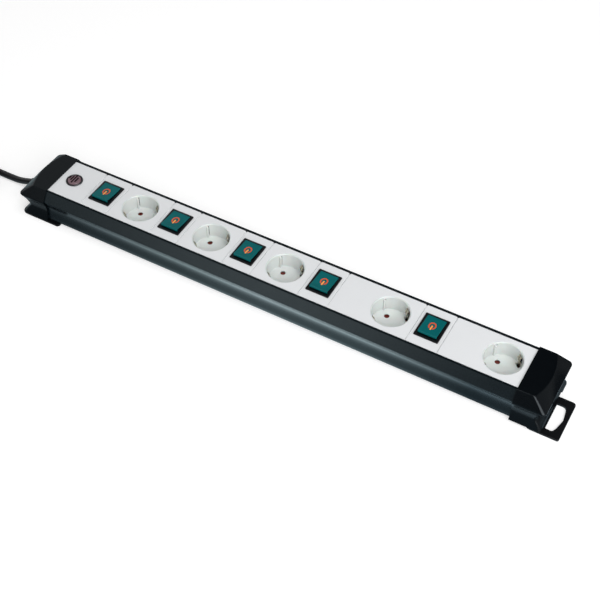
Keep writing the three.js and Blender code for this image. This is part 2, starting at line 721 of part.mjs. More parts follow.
const swungIn = new THREE.Matrix4().makeRotationZ(Math.PI / 2);
const leftPlace = mirroredAt(ROW_START - PIVOT_X, PIVOT_Y);
addNode("right_bracket", bracket(), BLACK_PLASTIC, at(ROW_END + PIVOT_X, PIVOT_Y));
addNode("left_bracket", bracket(), BLACK_PLASTIC, leftPlace.clone().multiply(swungIn));
addNode("right_rivet", rivet(), SPRING_STEEL, at(ROW_END + PIVOT_X, PIVOT_Y));
addNode("left_rivet", rivet(), SPRING_STEEL, leftPlace);

// ---- Mains lead ----

// The lead falls from its exit to the floor, then rises onto the lift of the hank. Each place is x
// from the exit, and a share of that height.
const LEAD_FALL = [
  [2.5, 1],
  [-5.5, 1],
  [-11.5, 0.938],
  [-17.5, 0.786],
  [-23.5, 0.607],
  [-29.5, 0.42],
  [-35.5, 0.241],
  [-41.5, 0.085],
  [-47.5, 0.013],
  [-55.5, 0],
];
const LEAD_RISE = [
  [-63.5, 0],
  [-72.5, 0.08],
  [-81.5, 0.32],
  [-90.5, 0.72],
  [-99.5, 1],
];

// From the top of the hank down to the plug, in the same way.
const TAIL_FALL = [
  [-207.5, 1],
  [-215.5, 0.997],
  [-222.5, 0.962],
  [-229.5, 0.859],
  [-236.5, 0.685],
  [-243.5, 0.481],
  [-250.5, 0.286],
  [-257.5, 0.138],
  [-264.5, 0.046],
  [-271.5, 0.005],
  [-279.5, 0],
];

function placed(places, low, high) {
  return places.map(([x, share]) => [x, low + share * (high - low)]);
}

const CORD_REST = CORD_RADIUS + 0.05;
const LEAD_ROUTE = [
  ...placed(LEAD_FALL, CORD_REST, EXIT_Z),
  ...placed(LEAD_RISE, CORD_REST, CORD_RADIUS + HANK_LIFT),
];
const HANK_TOP = HANK_LIFT + HANK_LAYERS * CORD_DIAMETER;
const TAIL_ROUTE = placed(TAIL_FALL, PLUG_AXIS_Z, HANK_TOP - CORD_RADIUS);

function routeCurve(route) {
  return new THREE.CatmullRomCurve3(route.map(([x, z]) => new THREE.Vector3(EXIT_X + x, 0, z)));
}

// The part of a route between two distances from the exit.
function between(route, near, far) {
  const curve = routeCurve(route);
  const shareAt = (distance) => {
    let low = 0;
    let high = 1;
    for (let i = 0; i < 40; i += 1) {
      const middle = (low + high) / 2;
      if (EXIT_X - curve.getPointAt(middle).x < distance) low = middle;
      else high = middle;
    }
    return low;
  };
  return { curve, from: shareAt(near), to: shareAt(far) };
}

// A tube or taper along part of a route: rings square to the curve, with a radius for each.
function tubeAlong({ curve, from, to }, radii, sides = 12) {
  const rings = radii.map((radius, i) => {
    const u = from + ((to - from) * i) / (radii.length - 1);
    const centre = curve.getPointAt(u);
    const ahead = curve.getTangentAt(u);
    const up = new THREE.Vector3(ahead.z, 0, -ahead.x);
    const ring = [];
    for (let k = 0; k < sides; k += 1) {
      const angle = (2 * Math.PI * k) / sides;
      ring.push(new THREE.Vector3(0, radius * Math.cos(angle), 0).add(centre)
        .addScaledVector(up, radius * Math.sin(angle)));
    }
    return ring;
  });
  return skinned(rings);
}

function strainRelief() {
  const collar = joined(
    lying(FLANGE_RADIUS, ROW_START - CAP_TOP_REACH + 0.3, ROW_START - CAP_TOP_REACH + 2, 0, EXIT_Z),
    lying(STEM_RADIUS, EXIT_X - 1.5, ROW_START - CAP_TOP_REACH + 1, 0, EXIT_Z),
    lying(FLANGE_RADIUS, EXIT_X - 3.5, EXIT_X - 0.8, 0, EXIT_Z),
  );
  const ribbed = [6.2, 6.2, 5.9, 5.9, 5.6, 5.6, 5.3, 5.1, 4.8];
  return joined(collar, tubeAlong(between(LEAD_ROUTE, 2.5, BOOT_END), ribbed, 12));
}

function cordTube(route, near, far) {
  const { curve, from, to } = between(route, near, far);
  const points = [];
  const steps = 8;
  for (let i = 0; i <= steps; i += 1) points.push(curve.getPointAt(from + ((to - from) * i) / steps));
  const circle = outline(
    Array.from({ length: 10 }, (_, k) => {
      const angle = (2 * Math.PI * k) / 10;
      return [CORD_RADIUS * Math.cos(angle), CORD_RADIUS * Math.sin(angle)];
    }),
  );
  const settings = { steps, bevelEnabled: false, extrudePath: new THREE.CatmullRomCurve3(points) };
  return solid(new THREE.ExtrudeGeometry(circle, settings));
}

// The hank lies along the strip: two straight sides joined by half circles.
const HANK_SIDE_Y = -2 * HANK_OUTER_RADIUS;
const HANK_LEFT_CENTRE = HANK_RIGHT_CENTRE - HANK_STRAIGHT;

function hankOutline(radius, path) {
  const [left, right] = [EXIT_X + HANK_LEFT_CENTRE, EXIT_X + HANK_RIGHT_CENTRE];
  const y = -HANK_OUTER_RADIUS;
  path.moveTo(left, y - radius);
  path.lineTo(right, y - radius);
  path.absarc(right, y, radius, -Math.PI / 2, Math.PI / 2);
  path.lineTo(left, y + radius);
  path.absarc(left, y, radius, Math.PI / 2, 1.5 * Math.PI);
  return path;
}

function hank() {
  const shape = hankOutline(HANK_OUTER_RADIUS + CORD_RADIUS, new THREE.Shape());
  shape.holes.push(hankOutline(HANK_INNER_RADIUS - CORD_RADIUS, new THREE.Path()));
  return plate(shape, HANK_LIFT, HANK_TOP, 10);
}

// A strap round the bundle of one straight side, which runs between two values of y.
function hankTie(y0, y1) {
  const room = GAP;
  const t = TIE_THICKNESS;
  const outer = roundedRectangle(y0 - room - t, y1 + room + t, 0, HANK_TOP + room + t, 2);
  outer.holes.push(
    roundedRectangle(y0 - room, y1 + room, t, HANK_TOP + room, 0.3, new THREE.Path()),
  );
  const middle = EXIT_X + (HANK_LEFT_CENTRE + HANK_RIGHT_CENTRE) / 2;
  return alongX(outer, middle - TIE_WIDTH / 2, middle + TIE_WIDTH / 2, 2);
}

const FOLD_ENTRY = Math.sqrt(
  (HANK_OUTER_RADIUS + CORD_RADIUS) ** 2 - (HANK_OUTER_RADIUS - CORD_RADIUS) ** 2,
) + GAP;
const TAIL_END = -PLUG_X - PLUG_RADIUS - PLUG_BOOT_LENGTH - 2 * GAP;
addNode("strain_relief", strainRelief(), BLACK_RUBBER);
addNode("cord_lead", cordTube(LEAD_ROUTE, BOOT_END + GAP, -HANK_RIGHT_CENTRE - FOLD_ENTRY), BLACK_RUBBER);
addNode("cord_hank", hank(), BLACK_RUBBER);
addNode("cord_tail", cordTube(TAIL_ROUTE, -HANK_LEFT_CENTRE + FOLD_ENTRY, TAIL_END), BLACK_RUBBER);
addNode("hank_tie_1", hankTie(-2 * CORD_DIAMETER + CORD_RADIUS, CORD_RADIUS), BLACK_PLASTIC);
addNode(
  "hank_tie_2",
  hankTie(HANK_SIDE_Y - CORD_RADIUS, HANK_SIDE_Y + 2 * CORD_DIAMETER - CORD_RADIUS),
  BLACK_PLASTIC,
);

// ---- Plug: the lead enters at the side, and it lies on its back with the pins up ----

function plugBody() {
  const round = turned([
    [0, 0],
    [PLUG_RADIUS - 2.5, 0],
    [PLUG_RADIUS, 2.5],
    [PLUG_RADIUS, 14],
    [PLUG_RADIUS - 0.6, 15],
    [PLUG_RADIUS - 0.6, 23],
    [PLUG_RADIUS - 1.2, 23.8],
    [0, 23.8],
  ], 28);
  const boot = solid(
    new THREE.CylinderGeometry(5.2, 7.6, PLUG_BOOT_LENGTH, 16)
      .rotateZ(-Math.PI / 2)
      .translate(PLUG_RADIUS + PLUG_BOOT_LENGTH / 2, 0, PLUG_AXIS_Z),
  );
  const shoulder = box(0, PLUG_RADIUS + 4, -9, 9, 0.4, 15);
  const pinHoles = [-1, 1].map((side) => upright(2.4 + GAP, 12, 30, 0, (side * PIN_PITCH) / 2, 12));
  const keyways = [-1, 1].map((side) => box(-2.8, 2.8, side * 18 - 2.4, side * 18 + 2.4, 13, 30));
  const earthFlats = [-1, 1].map((side) => box(side * 18.2 - 1, side * 18.2 + 1, -3.5, 3.5, 15.5, 30));
  return cut(joined(round, boot, shoulder), ...pinHoles, ...keyways, ...earthFlats);
}

function plugPin() {
  return turned([
    [0, 12.4],
    [2.4, 12.4],
    [2.4, 41.3],
    [1.6, 42.6],
    [0, 42.8],
  ], 12);
}

addNode("plug_body", plugBody(), BLACK_RUBBER, at(EXIT_X + PLUG_X));
addNode("plug_pin_1", plugPin(), SPRING_STEEL, at(EXIT_X + PLUG_X, PIN_PITCH / 2));
addNode("plug_pin_2", plugPin(), SPRING_STEEL, at(EXIT_X + PLUG_X, -PIN_PITCH / 2));

export default part;
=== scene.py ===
import math

import bmesh
import bpy
from mathutils import Matrix, Vector


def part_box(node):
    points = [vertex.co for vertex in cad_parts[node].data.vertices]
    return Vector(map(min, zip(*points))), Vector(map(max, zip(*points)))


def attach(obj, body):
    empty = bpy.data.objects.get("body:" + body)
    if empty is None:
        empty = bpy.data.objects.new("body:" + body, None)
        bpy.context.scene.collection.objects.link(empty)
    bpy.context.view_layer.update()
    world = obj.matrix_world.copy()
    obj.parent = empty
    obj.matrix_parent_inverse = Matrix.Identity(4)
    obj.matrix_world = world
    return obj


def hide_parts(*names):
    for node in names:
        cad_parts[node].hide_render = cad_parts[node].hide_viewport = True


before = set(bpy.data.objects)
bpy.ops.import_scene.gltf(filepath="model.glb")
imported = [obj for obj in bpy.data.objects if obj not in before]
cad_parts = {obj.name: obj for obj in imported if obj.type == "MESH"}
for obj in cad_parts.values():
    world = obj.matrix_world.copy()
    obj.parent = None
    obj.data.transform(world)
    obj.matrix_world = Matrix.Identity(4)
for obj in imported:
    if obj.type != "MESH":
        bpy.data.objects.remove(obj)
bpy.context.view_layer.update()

# ---- Camera ----
# It looks down on the middle of the strip from its front right corner, with a long lens and a
# slight roll to the left.
CAMERA_TARGET = Vector((0.0344, -0.0313, 0.0415))
CAMERA_DISTANCE = 1.1657
CAMERA_AZIMUTH = math.radians(28.634)
CAMERA_ELEVATION = math.radians(48.428)
CAMERA_ROLL = math.radians(0.632)
CAMERA_LENS = 69.43

away = Vector((
    math.sin(CAMERA_AZIMUTH) * math.cos(CAMERA_ELEVATION),
    -math.cos(CAMERA_AZIMUTH) * math.cos(CAMERA_ELEVATION),
    math.sin(CAMERA_ELEVATION),
))
level = Vector((math.cos(CAMERA_AZIMUTH), math.sin(CAMERA_AZIMUTH), 0))
upward = away.cross(level)
right = level * math.cos(CAMERA_ROLL) + upward * math.sin(CAMERA_ROLL)
camera_data = bpy.data.cameras.new("camera")
camera_data.lens = CAMERA_LENS
camera_data.clip_end = 20
camera = bpy.data.objects.new("camera", camera_data)
bpy.context.scene.collection.objects.link(camera)
facing = Matrix((right, away.cross(right), away)).transposed().to_4x4()
camera.matrix_world = Matrix.Translation(CAMERA_TARGET + away * CAMERA_DISTANCE) @ facing
bpy.context.scene.camera = camera

# ---- Mains lead ----
# Three metres of round black PVC flex. It runs out of the left cap through its moulded strain
# relief and is put away as a hank of four layers, held by two hook-and-loop ties, with the plug
# lying at the end of it.
CORD_DIAMETER = 0.0075
# Each turn of the hank lies on its inner or its outer track, in one of four layers.
HANK_OUTER, HANK_INNER = 0.0315, 0.024
HANK_RADII = (HANK_OUTER, HANK_INNER, HANK_INNER, HANK_OUTER) * 2
HANK_LAYERS = (0, 0, 1, 1, 2, 2, 3, 3)
HANK_STRAIGHT = 0.108
HANK_RIGHT = -0.124
HANK_LIFT = 0.0013
TRANSITION = 0.27
ROW_START = -0.28525
# The lead on its way to the hank, and from it to the plug: X from the row's start, and height.
LEAD_ROUTE = (
    (-0.022, 0.015), (-0.030, 0.015), (-0.036, 0.0143), (-0.042, 0.0126), (-0.048, 0.0106),
    (-0.054, 0.0085), (-0.060, 0.0065), (-0.066, 0.00475), (-0.072, 0.00395), (-0.080, 0.0038),
    (-0.088, 0.0038), (-0.097, 0.0039), (-0.106, 0.0042), (-0.115, 0.0047),
)
TAIL_ROUTE = (
    (-0.232, 0.02755), (-0.240, 0.0275), (-0.247, 0.0268), (-0.254, 0.0248), (-0.261, 0.0214),
    (-0.268, 0.0174), (-0.275, 0.0136), (-0.282, 0.0107), (-0.289, 0.0089), (-0.296, 0.0081),
    (-0.304, 0.008),
)


class Shade:
    """A socket in a node tree, used as a number in sums. node() adds any other node."""

    def __init__(self, tree, socket):
        self.tree = tree
        self.socket = socket

    def node(self, kind, settings={}, inputs={}, output=0):
        made = self.tree.nodes.new("ShaderNode" + kind)
        for name, value in settings.items():
            if name == "stops":
                elements = made.color_ramp.elements
                while len(elements) < len(value):
                    elements.new(0.5)
                for element, (place, colour) in zip(elements, value):
                    element.position = place
                    element.color = (*colour, 1)
            else:
                setattr(made, name, value)
        for name, value in inputs.items():
            if isinstance(value, Shade):
                self.tree.links.new(value.socket, made.inputs[name])
            else:
                made.inputs[name].default_value = value
        return Shade(self.tree, made.outputs[output])

    def maths(self, operation, *values):
        return self.node("Math", {"operation": operation}, dict(enumerate(values)))

    def __add__(self, other):
        return self.maths("ADD", self, other)

    def __sub__(self, other):
        return self.maths("SUBTRACT", self, other)

    def __rsub__(self, other):
        return self.maths("SUBTRACT", other, self)

    def __mul__(self, other):
        return self.maths("MULTIPLY", self, other)

    def __truediv__(self, other):
        return self.maths("DIVIDE", self, other)

    __radd__ = __add__


def moulded(name, colour, roughness, grain=0.15, grain_size=0.0004, cloud=0.06, **fixed):
    """A finish of one colour with a fine grain, a faint cloudiness and an uneven polish."""
    material = bpy.data.materials.new(name)
    material.use_nodes = True
    tree = material.node_tree
    surface = tree.nodes["Principled BSDF"]
    for socket, value in fixed.items():
        surface.inputs[socket.replace("_", " ")].default_value = value
    place = tree.nodes.new("ShaderNodeTexCoord")
    place = Shade(tree, place.outputs["Object"])
    clouds = place.node("TexNoise", {}, {"Vector": place, "Scale": 60.0, "Detail": 3.0})
    fine = place.node("TexNoise", {}, {"Vector": place, "Scale": 1 / grain_size, "Detail": 2.0})
    light = tuple(min(c * (1 + cloud), 1) for c in colour)
    dark = tuple(c * (1 - cloud) for c in colour)
    mixed = place.node(
        "Mix", {"data_type": "RGBA"}, {0: clouds, 6: (*dark, 1), 7: (*light, 1)}, 2,
    )
    rough = roughness + (clouds - 0.5) * 0.08 + (fine - 0.5) * 0.06
    bump = place.node("Bump", {}, {"Strength": grain, "Distance": grain_size, "Height": fine})
    tree.links.new(mixed.socket, surface.inputs["Base Color"])
    tree.links.new(rough.socket, surface.inputs["Roughness"])
    tree.links.new(bump.socket, surface.inputs["Normal"])
    return material


def ease(t):
    t = min(max(t, 0), 1)
    return t * t * (3 - 2 * t)


def hank_points():
    """The lead's middle line through the hank, with a slow shift from each turn to the next."""
    points = []
    mean = (HANK_OUTER + HANK_INNER) / 2
    turn = 2 * HANK_STRAIGHT + 2 * math.pi * mean
    steps = round(turn / CORD_DIAMETER)
    left = HANK_RIGHT - HANK_STRAIGHT
    middle = -HANK_OUTER
    fold = HANK_STRAIGHT + math.pi * mean
    for k, (radius_here, layer_here) in enumerate(zip(HANK_RADII, HANK_LAYERS)):
        last = k == len(HANK_RADII) - 1
        for i in range(steps):
            along = turn * i / steps
            if last and along > HANK_STRAIGHT - CORD_DIAMETER:
                return points
            radius, layer = radius_here, layer_here
            if not last:
                progress = (along - HANK_STRAIGHT) / (turn - HANK_STRAIGHT)
                change = ease((progress - (6 - k) * 0.45 * TRANSITION) / TRANSITION)
                radius += (HANK_RADII[k + 1] - radius) * change
                layer += (HANK_LAYERS[k + 1] - layer) * change
            z = HANK_LIFT + CORD_DIAMETER * (layer + 0.5)
            if along < HANK_STRAIGHT:
                point = (HANK_RIGHT - along, middle + radius, z)
            elif along < fold:
                angle = (along - HANK_STRAIGHT) / mean
                point = (left - radius * math.sin(angle), middle + radius * math.cos(angle), z)
            elif along < fold + HANK_STRAIGHT:
                point = (left + along - fold, middle - radius, z)
            else:
                angle = (along - fold - HANK_STRAIGHT) / mean
                across = radius * math.cos(angle)
                point = (HANK_RIGHT + radius * math.sin(angle), middle - across, z)
            points.append(point)
    return points


route = [(x, 0, z) for x, z in LEAD_ROUTE] + hank_points() + [(x, 0, z) for x, z in TAIL_ROUTE]
cord_curve = bpy.data.curves.new("mains_lead", "CURVE")
cord_curve.dimensions = "3D"
CORD_CLEARANCE = 0.00004
cord_curve.bevel_depth = CORD_DIAMETER / 2 - CORD_CLEARANCE
cord_curve.bevel_resolution = 3
cord_curve.resolution_u = 3
cord_curve.use_fill_caps = True
spline = cord_curve.splines.new("NURBS")
spline.points.add(len(route) - 1)
for point, (x, y, z) in zip(spline.points, route):
    point.co = (ROW_START + x, y, z, 1)
spline.order_u = 4
spline.use_endpoint_u = True
flex_black = moulded(
    "flex_black", (0.010, 0.0105, 0.0115), 0.36, grain=0.1, grain_size=0.0004,
    Specular_IOR_Level=0.45,
)
cord_curve.materials.append(flex_black)
mains_lead = bpy.data.objects.new("mains_lead", cord_curve)
bpy.context.scene.collection.objects.link(mains_lead)
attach(mains_lead, "strip")
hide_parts("cord_lead", "cord_hank", "cord_tail")

# ---- Channel ----
# The body of the strip is one extruded channel, lacquered anthracite. Its walls slope out to an
# edge and draw in to a waist below it, and the face modules lie on a ledge inside each lip.
LEFT_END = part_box("left_cap")[1].x
RIGHT_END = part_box("right_cap")[0].x
PANEL_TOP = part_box("breaker_module")[1].z
PANEL_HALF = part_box("breaker_module")[1].y
CHANNEL_HALF = (
    (0.0324, 0.0028), (0.0332, 0.0032), (0.0334, 0.0041), (0.0327, 0.0078), (0.0321, 0.0112),
    (0.0318, 0.0148), (0.0320, 0.0186), (0.0326, 0.0216), (0.0335, 0.0245), (0.0346, 0.0270),
    (0.0355, 0.0288), (0.0358, 0.0299), (0.03565, 0.0308), (0.0295, 0.0398), (0.0291, 0.0403),
    (0.0286, 0.0406), (0.0281, 0.0405), (0.0279, 0.0400), (0.0276, 0.0400), (0.0274, 0.0412),
    (0.0271, 0.0414), (0.0267, 0.0414), (0.02655, 0.0411),
)


def smoothed(piece, angle=30):
    """Smooth faces, with creases where the surface turns by more than an angle."""
    piece.data.shade_smooth()
    piece.data.set_sharp_from_angle(angle=math.radians(angle))
    if "even" not in piece.modifiers:
        even = piece.modifiers.new("even", "WEIGHTED_NORMAL")
        even.keep_sharp = True
    return piece


def finished(name, mesh, material, body="strip", stands_for=(), angle=30):
    """Makes a piece of a bmesh in the strip's own frame, and hangs it on its body."""
    data = bpy.data.meshes.new(name)
    bmesh.ops.recalc_face_normals(mesh, faces=mesh.faces)
    mesh.to_mesh(data)
    mesh.free()
    data.materials.append(material)
    piece = bpy.data.objects.new(name, data)
    bpy.context.scene.collection.objects.link(piece)
    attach(piece, body)
    if stands_for:
        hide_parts(*stands_for)
    return smoothed(piece, angle)


def pushed(mesh, faces, way):
    """Runs faces along a vector into a solid."""
    run = bmesh.ops.extrude_face_region(mesh, geom=faces)["geom"]
    moved = [v for v in run if isinstance(v, bmesh.types.BMVert)]
    bmesh.ops.translate(mesh, verts=moved, vec=way)
    return mesh


def along_x(profile, x0, x1):
    """A closed section, given in Y and Z, run from x0 to x1."""
    mesh = bmesh.new()
    face = mesh.faces.new([mesh.verts.new((x0, y, z)) for y, z in profile])
    return pushed(mesh, [face], (x1 - x0, 0, 0))


outside = list(CHANNEL_HALF)
# The rear lip is a little wider than the front one.
back_lip = [(0.0303, 0.0402), (0.0298, 0.0410), (0.0290, 0.0413), (0.0282, 0.0412)]
inside = [
    (0.02655, 0.0387), (0.0240, 0.0387), (0.0240, 0.0373), (0.0276, 0.0361), (0.0336, 0.0304),
    (0.0313, 0.0232), (0.0299, 0.0148), (0.0304, 0.0060),
]
back_outside = outside[:13] + back_lip + outside[17:]
front_half = [(-y, z) for y, z in reversed(outside + inside)]
section = back_outside + inside + front_half
lacquer = moulded(
    "anthracite_lacquer", (0.0045, 0.0078, 0.0102), 0.19, grain=0.05, grain_size=0.0006,
    Specular_IOR_Level=0.55, Specular_Tint=(0.80, 0.96, 1.0, 1),
)
END_IN_CAP = 0.009
finished(
    "channel", along_x(section, LEFT_END - END_IN_CAP, RIGHT_END + END_IN_CAP), lacquer,
    stands_for=["channel_body"], angle=25,
)

# ---- Face plates ----
# A white moulded plate covers each module. The plates drop onto the channel's ledges from above
# and lie edge to edge, with a small snap notch at each of their back corners.
PLATE_THICKNESS = 0.0025
NOTCH = 0.0012
white = moulded(
    "white_plate", (0.785, 0.80, 0.815), 0.4, grain=0.06, grain_size=0.0005, cloud=0.012,
    Specular_IOR_Level=0.4,
)


def carved(piece, cutters, angle=30):
    """Cuts other meshes out of a piece and removes them."""
    piece.modifiers.clear()
    for cutter in cutters:
        data = bpy.data.meshes.new("cutter")
        bmesh.ops.recalc_face_normals(cutter, faces=cutter.faces)
        cutter.to_mesh(data)
        cutter.free()
        tool = bpy.data.objects.new("cutter", data)
        bpy.context.scene.collection.objects.link(tool)
        cut = piece.modifiers.new("cut", "BOOLEAN")
        cut.operation = "DIFFERENCE"
        cut.solver = "EXACT"
        cut.object = tool
        bpy.context.view_layer.update()
        evaluated = piece.evaluated_get(bpy.context.evaluated_depsgraph_get())
        result = bpy.data.meshes.new_from_object(evaluated)
        piece.modifiers.remove(cut)
        old = piece.data
        piece.data = result
        bpy.data.meshes.remove(old)
        bpy.data.objects.remove(tool)
        bpy.data.meshes.remove(data)
    return smoothed(piece, angle)


def block(x0, x1, y0, y1, z0, z1, turn=0.0, about=(0, 0, 0)):
    """A box between two corners, turned about an upright line."""
    mesh = bmesh.new()
    bmesh.ops.create_cube(mesh, size=1)
    bmesh.ops.scale(mesh, verts=mesh.verts, vec=(x1 - x0, y1 - y0, z1 - z0))
    middle = ((x0 + x1) / 2, (y0 + y1) / 2, (z0 + z1) / 2)
    bmesh.ops.translate(mesh, verts=mesh.verts, vec=middle)
    bmesh.ops.rotate(mesh, verts=mesh.verts, cent=about, matrix=Matrix.Rotation(turn, 3, "Z"))
    return mesh


def rounded_edges(mesh, width, segments=2, above=30):
    """Rounds every edge of a bmesh that turns by more than an angle."""
    sharp = [e for e in mesh.edges if e.calc_face_angle(0) > math.radians(above)]
    bmesh.ops.bevel(
        mesh, geom=sharp, offset=width, affect="EDGES", segments=segments, profile=0.5,
        material=-1,
    )
    return mesh


def extruded(outline, z0, z1):
    """A flat outline, given in X and Y, raised from z0 to z1."""
    mesh = bmesh.new()
    face = mesh.faces.new([mesh.verts.new((x, y, z0)) for x, y in outline])
    return pushed(mesh, [face], (0, 0, z1 - z0))


def face_plate(x0, x1):
    """A plate over one module, with its back corners notched."""
    half = PANEL_HALF
    mesh = extruded([
        (x0, -half), (x1, -half), (x1, half - NOTCH), (x1 - NOTCH, half), (x0 + NOTCH, half),
        (x0, half - NOTCH),
    ], PANEL_TOP - PLATE_THICKNESS, PANEL_TOP)
    return rounded_edges(mesh, 0.00025, above=60)


def drum(radius, z0, z1, x, y, sides):
    """An upright round post or hole."""
    mesh = bmesh.new()
    bmesh.ops.create_cone(
        mesh, cap_ends=True, segments=sides, radius1=radius, radius2=radius, depth=z1 - z0,
    )
    bmesh.ops.translate(mesh, verts=mesh.verts, vec=(x, y, (z0 + z1) / 2))
    return mesh


def turned(profile, x=0.0, y=0.0, steps=96):
    """A round body spun from a closed profile of radius and height."""
    mesh = bmesh.new()
    points = [mesh.verts.new((radius, 0, z)) for radius, z in profile]
    edges = [mesh.edges.new(pair) for pair in zip(points, points[1:] + points[:1])]
    bmesh.ops.spin(
        mesh, geom=points + edges, cent=(0, 0, 0), axis=(0, 0, 1), angle=2 * math.pi,
        steps=steps, use_merge=True,
    )
    bmesh.ops.remove_doubles(mesh, verts=mesh.verts, dist=1e-6)
    bmesh.ops.dissolve_degenerate(mesh, edges=mesh.edges, dist=1e-7)
    bmesh.ops.translate(mesh, verts=mesh.verts, vec=(x, y, 0))
    return mesh


# ---- Sockets ----
# Each socket is moulded with its plate: a round recess with two guide ribs, two pin holes, two
# slots for the earth clips, and a skirt below that stands on the channel floor.
# There are five sockets and five switches.
NUMBERS = range(1, 6)
RECESS_RADIUS = 0.0195
RECESS_DEPTH = 0.0175
PIN_REACH = 0.0095
CLIP_RADIUS = 0.0187
FLOOR_Z = PANEL_TOP - RECESS_DEPTH
SKIRT_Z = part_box("socket_module_1")[0].z
RIM = 0.00125
SLOT_HALF = 0.0029
WALL_CUT = 0.0030


def middle_x(node):
    low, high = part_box(node)
    return (low.x + high.x) / 2


def socket_dish(x):
    """The recess, its rounded rim, and the skirt below it."""
    top = PANEL_TOP
    radius = RECESS_RADIUS
    return turned([
        (0, FLOOR_Z), (radius - 0.0010, FLOOR_Z), (radius - 0.0006, FLOOR_Z + 0.00012),
        (radius - 0.0003, FLOOR_Z + 0.0005), (radius - 0.0002, FLOOR_Z + 0.0011),
        (radius, top - 0.0012), (radius + 0.00012, top - 0.0008), (radius + 0.00038, top - 0.0004),
        (radius + 0.00075, top - 0.0001), (radius + RIM, top), (radius + RIM, top - 0.0025),
        (radius + 0.002, top - 0.0025), (radius + 0.002, SKIRT_Z), (radius + 0.0002, SKIRT_Z),
        (radius + 0.0002, FLOOR_Z - 0.0022), (0, FLOOR_Z - 0.0022),
    ], x, 0, 80)


def rib(x, side):
    mesh = block(
        x + side * (RECESS_RADIUS - 0.0020), x + side * (RECESS_RADIUS + 0.0008), -0.0011, 0.0011,
        FLOOR_Z - 0.0005, PANEL_TOP - 0.0026, math.radians(-45), (x, 0, 0),
    )
    return rounded_edges(mesh, 0.0005, 3)


def radial(x, side, near, far, y0, y1, z0, z1, turn):
    """A block that lies across the recess wall, between two radii, at a turn of the socket."""
    x0, x1 = sorted((side * near, side * far))
    y0, y1 = sorted((side * y0, side * y1))
    return block(x + x0, x + x1, y0, y1, z0, z1, turn, (x, 0, 0))


def socket_cuts(x):
    """The stepped pin holes, the groove beside each guide rib, and the slots of the clips."""
    ribs, clips = math.radians(-45), math.radians(45)
    holes = []
    for side in (-1, 1):
        along = side * PIN_REACH / math.sqrt(2)
        holes.append(turned([
            (0, FLOOR_Z - 0.004), (0.0038, FLOOR_Z - 0.004), (0.0038, FLOOR_Z - 0.0007),
            (0.0028, FLOOR_Z - 0.0007), (0.0028, FLOOR_Z + 0.002), (0, FLOOR_Z + 0.002),
        ], x + along, -along, 40))
        holes += [
            radial(x, side, RECESS_RADIUS - 0.0006, RECESS_RADIUS + WALL_CUT, -0.0010, -0.0019,
                   FLOOR_Z + 0.0012, PANEL_TOP - 0.0024, ribs),
            radial(x, side, CLIP_RADIUS - 0.0026, CLIP_RADIUS + 0.00065, -SLOT_HALF, SLOT_HALF,
                   FLOOR_Z - 0.004, PANEL_TOP - 0.0035, clips),
            radial(x, side, CLIP_RADIUS - 0.0004, RECESS_RADIUS + WALL_CUT, -SLOT_HALF, SLOT_HALF,
                   FLOOR_Z + 0.0004, PANEL_TOP - 0.0045, clips),
        ]
    return holes


socket_white = moulded(
    "white_socket", (0.71, 0.74, 0.725), 0.18, grain=0.05, grain_size=0.0005, cloud=0.015,
    Specular_IOR_Level=0.5, Subsurface_Weight=0.08, Subsurface_Scale=0.004,
)
for number in NUMBERS:
    node = f"socket_module_{number}"
    low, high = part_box(node)
    middle = middle_x(f"earth_contact_{number}")
    plate = finished(f"socket_plate_{number}", face_plate(low.x, high.x), white)
    recess = drum(RECESS_RADIUS + RIM, PANEL_TOP - 0.006, PANEL_TOP + 0.004, middle, 0, 80)
    carved(plate, [recess])
    dish = finished(f"socket_{number}", socket_dish(middle), socket_white)
    carved(dish, socket_cuts(middle))
    for side in (-1, 1):
        finished(f"guide_rib_{number}_{'ab'[side > 0]}", rib(middle, side), socket_white)
    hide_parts(node)

# ---- Plates of the switches and of the breaker ----
# The same white moulded plates, with a window for the bezel of a rocker switch or a round hole
# for the breaker. They drop onto the same ledges.
SWITCH_HOLE_X, SWITCH_HOLE_Y = 0.0116, 0.0153
BREAKER_HOLE = 0.0081
HOLE_Z = (0.036, 0.045)
for number in NUMBERS:
    node = f"switch_module_{number}"
    low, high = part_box(node)
    middle = middle_x(f"switch_housing_{number}")
    plate = finished(f"switch_plate_{number}", face_plate(low.x, high.x), white,
                     stands_for=[node])
    carved(plate, [block(
        middle - SWITCH_HOLE_X, middle + SWITCH_HOLE_X, -SWITCH_HOLE_Y, SWITCH_HOLE_Y, *HOLE_Z,
    )])
low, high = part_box("breaker_module")
BREAKER_X = middle_x("breaker_barrel")
plate = finished("breaker_plate", face_plate(low.x, high.x), white,
                 stands_for=["breaker_module"])
carved(plate, [drum(BREAKER_HOLE, *HOLE_Z, BREAKER_X, 0, 64)])

# ---- Switches ----
# A double-pole rocker switch snaps into each switch plate. It has a black housing with a flat
# bezel, and a clear teal rocker with an orange standby mark that has a faint painted glow.
BEZEL_X, BEZEL_Y = 0.01325, 0.01585
BEZEL_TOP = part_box("switch_housing_1")[1].z
CASE_X, CASE_Y, CASE_BOTTOM = 0.0113, 0.015, 0.0163
WINDOW_X, WINDOW_Y = 0.0106, 0.0135
HOUSING_FLOOR = 0.030
ROCKER_X, ROCKER_Y = 0.0103, 0.0127
ROCKER_FACE = 0.005
ROCKER_DARK = 0.0030
PIVOT_Z = PANEL_TOP - 0.002
ROCKER_TILT = math.radians(-6)
black = moulded(
    "black_plastic", (0.0035, 0.0042, 0.0052), 0.3, grain=0.08, grain_size=0.0004,
    Specular_IOR_Level=0.35,
)
teal = moulded(
    "teal_plastic", (0.0006, 0.115, 0.122), 0.14, grain=0.02, grain_size=0.0008, cloud=0.25,
    Specular_IOR_Level=0.25,
)
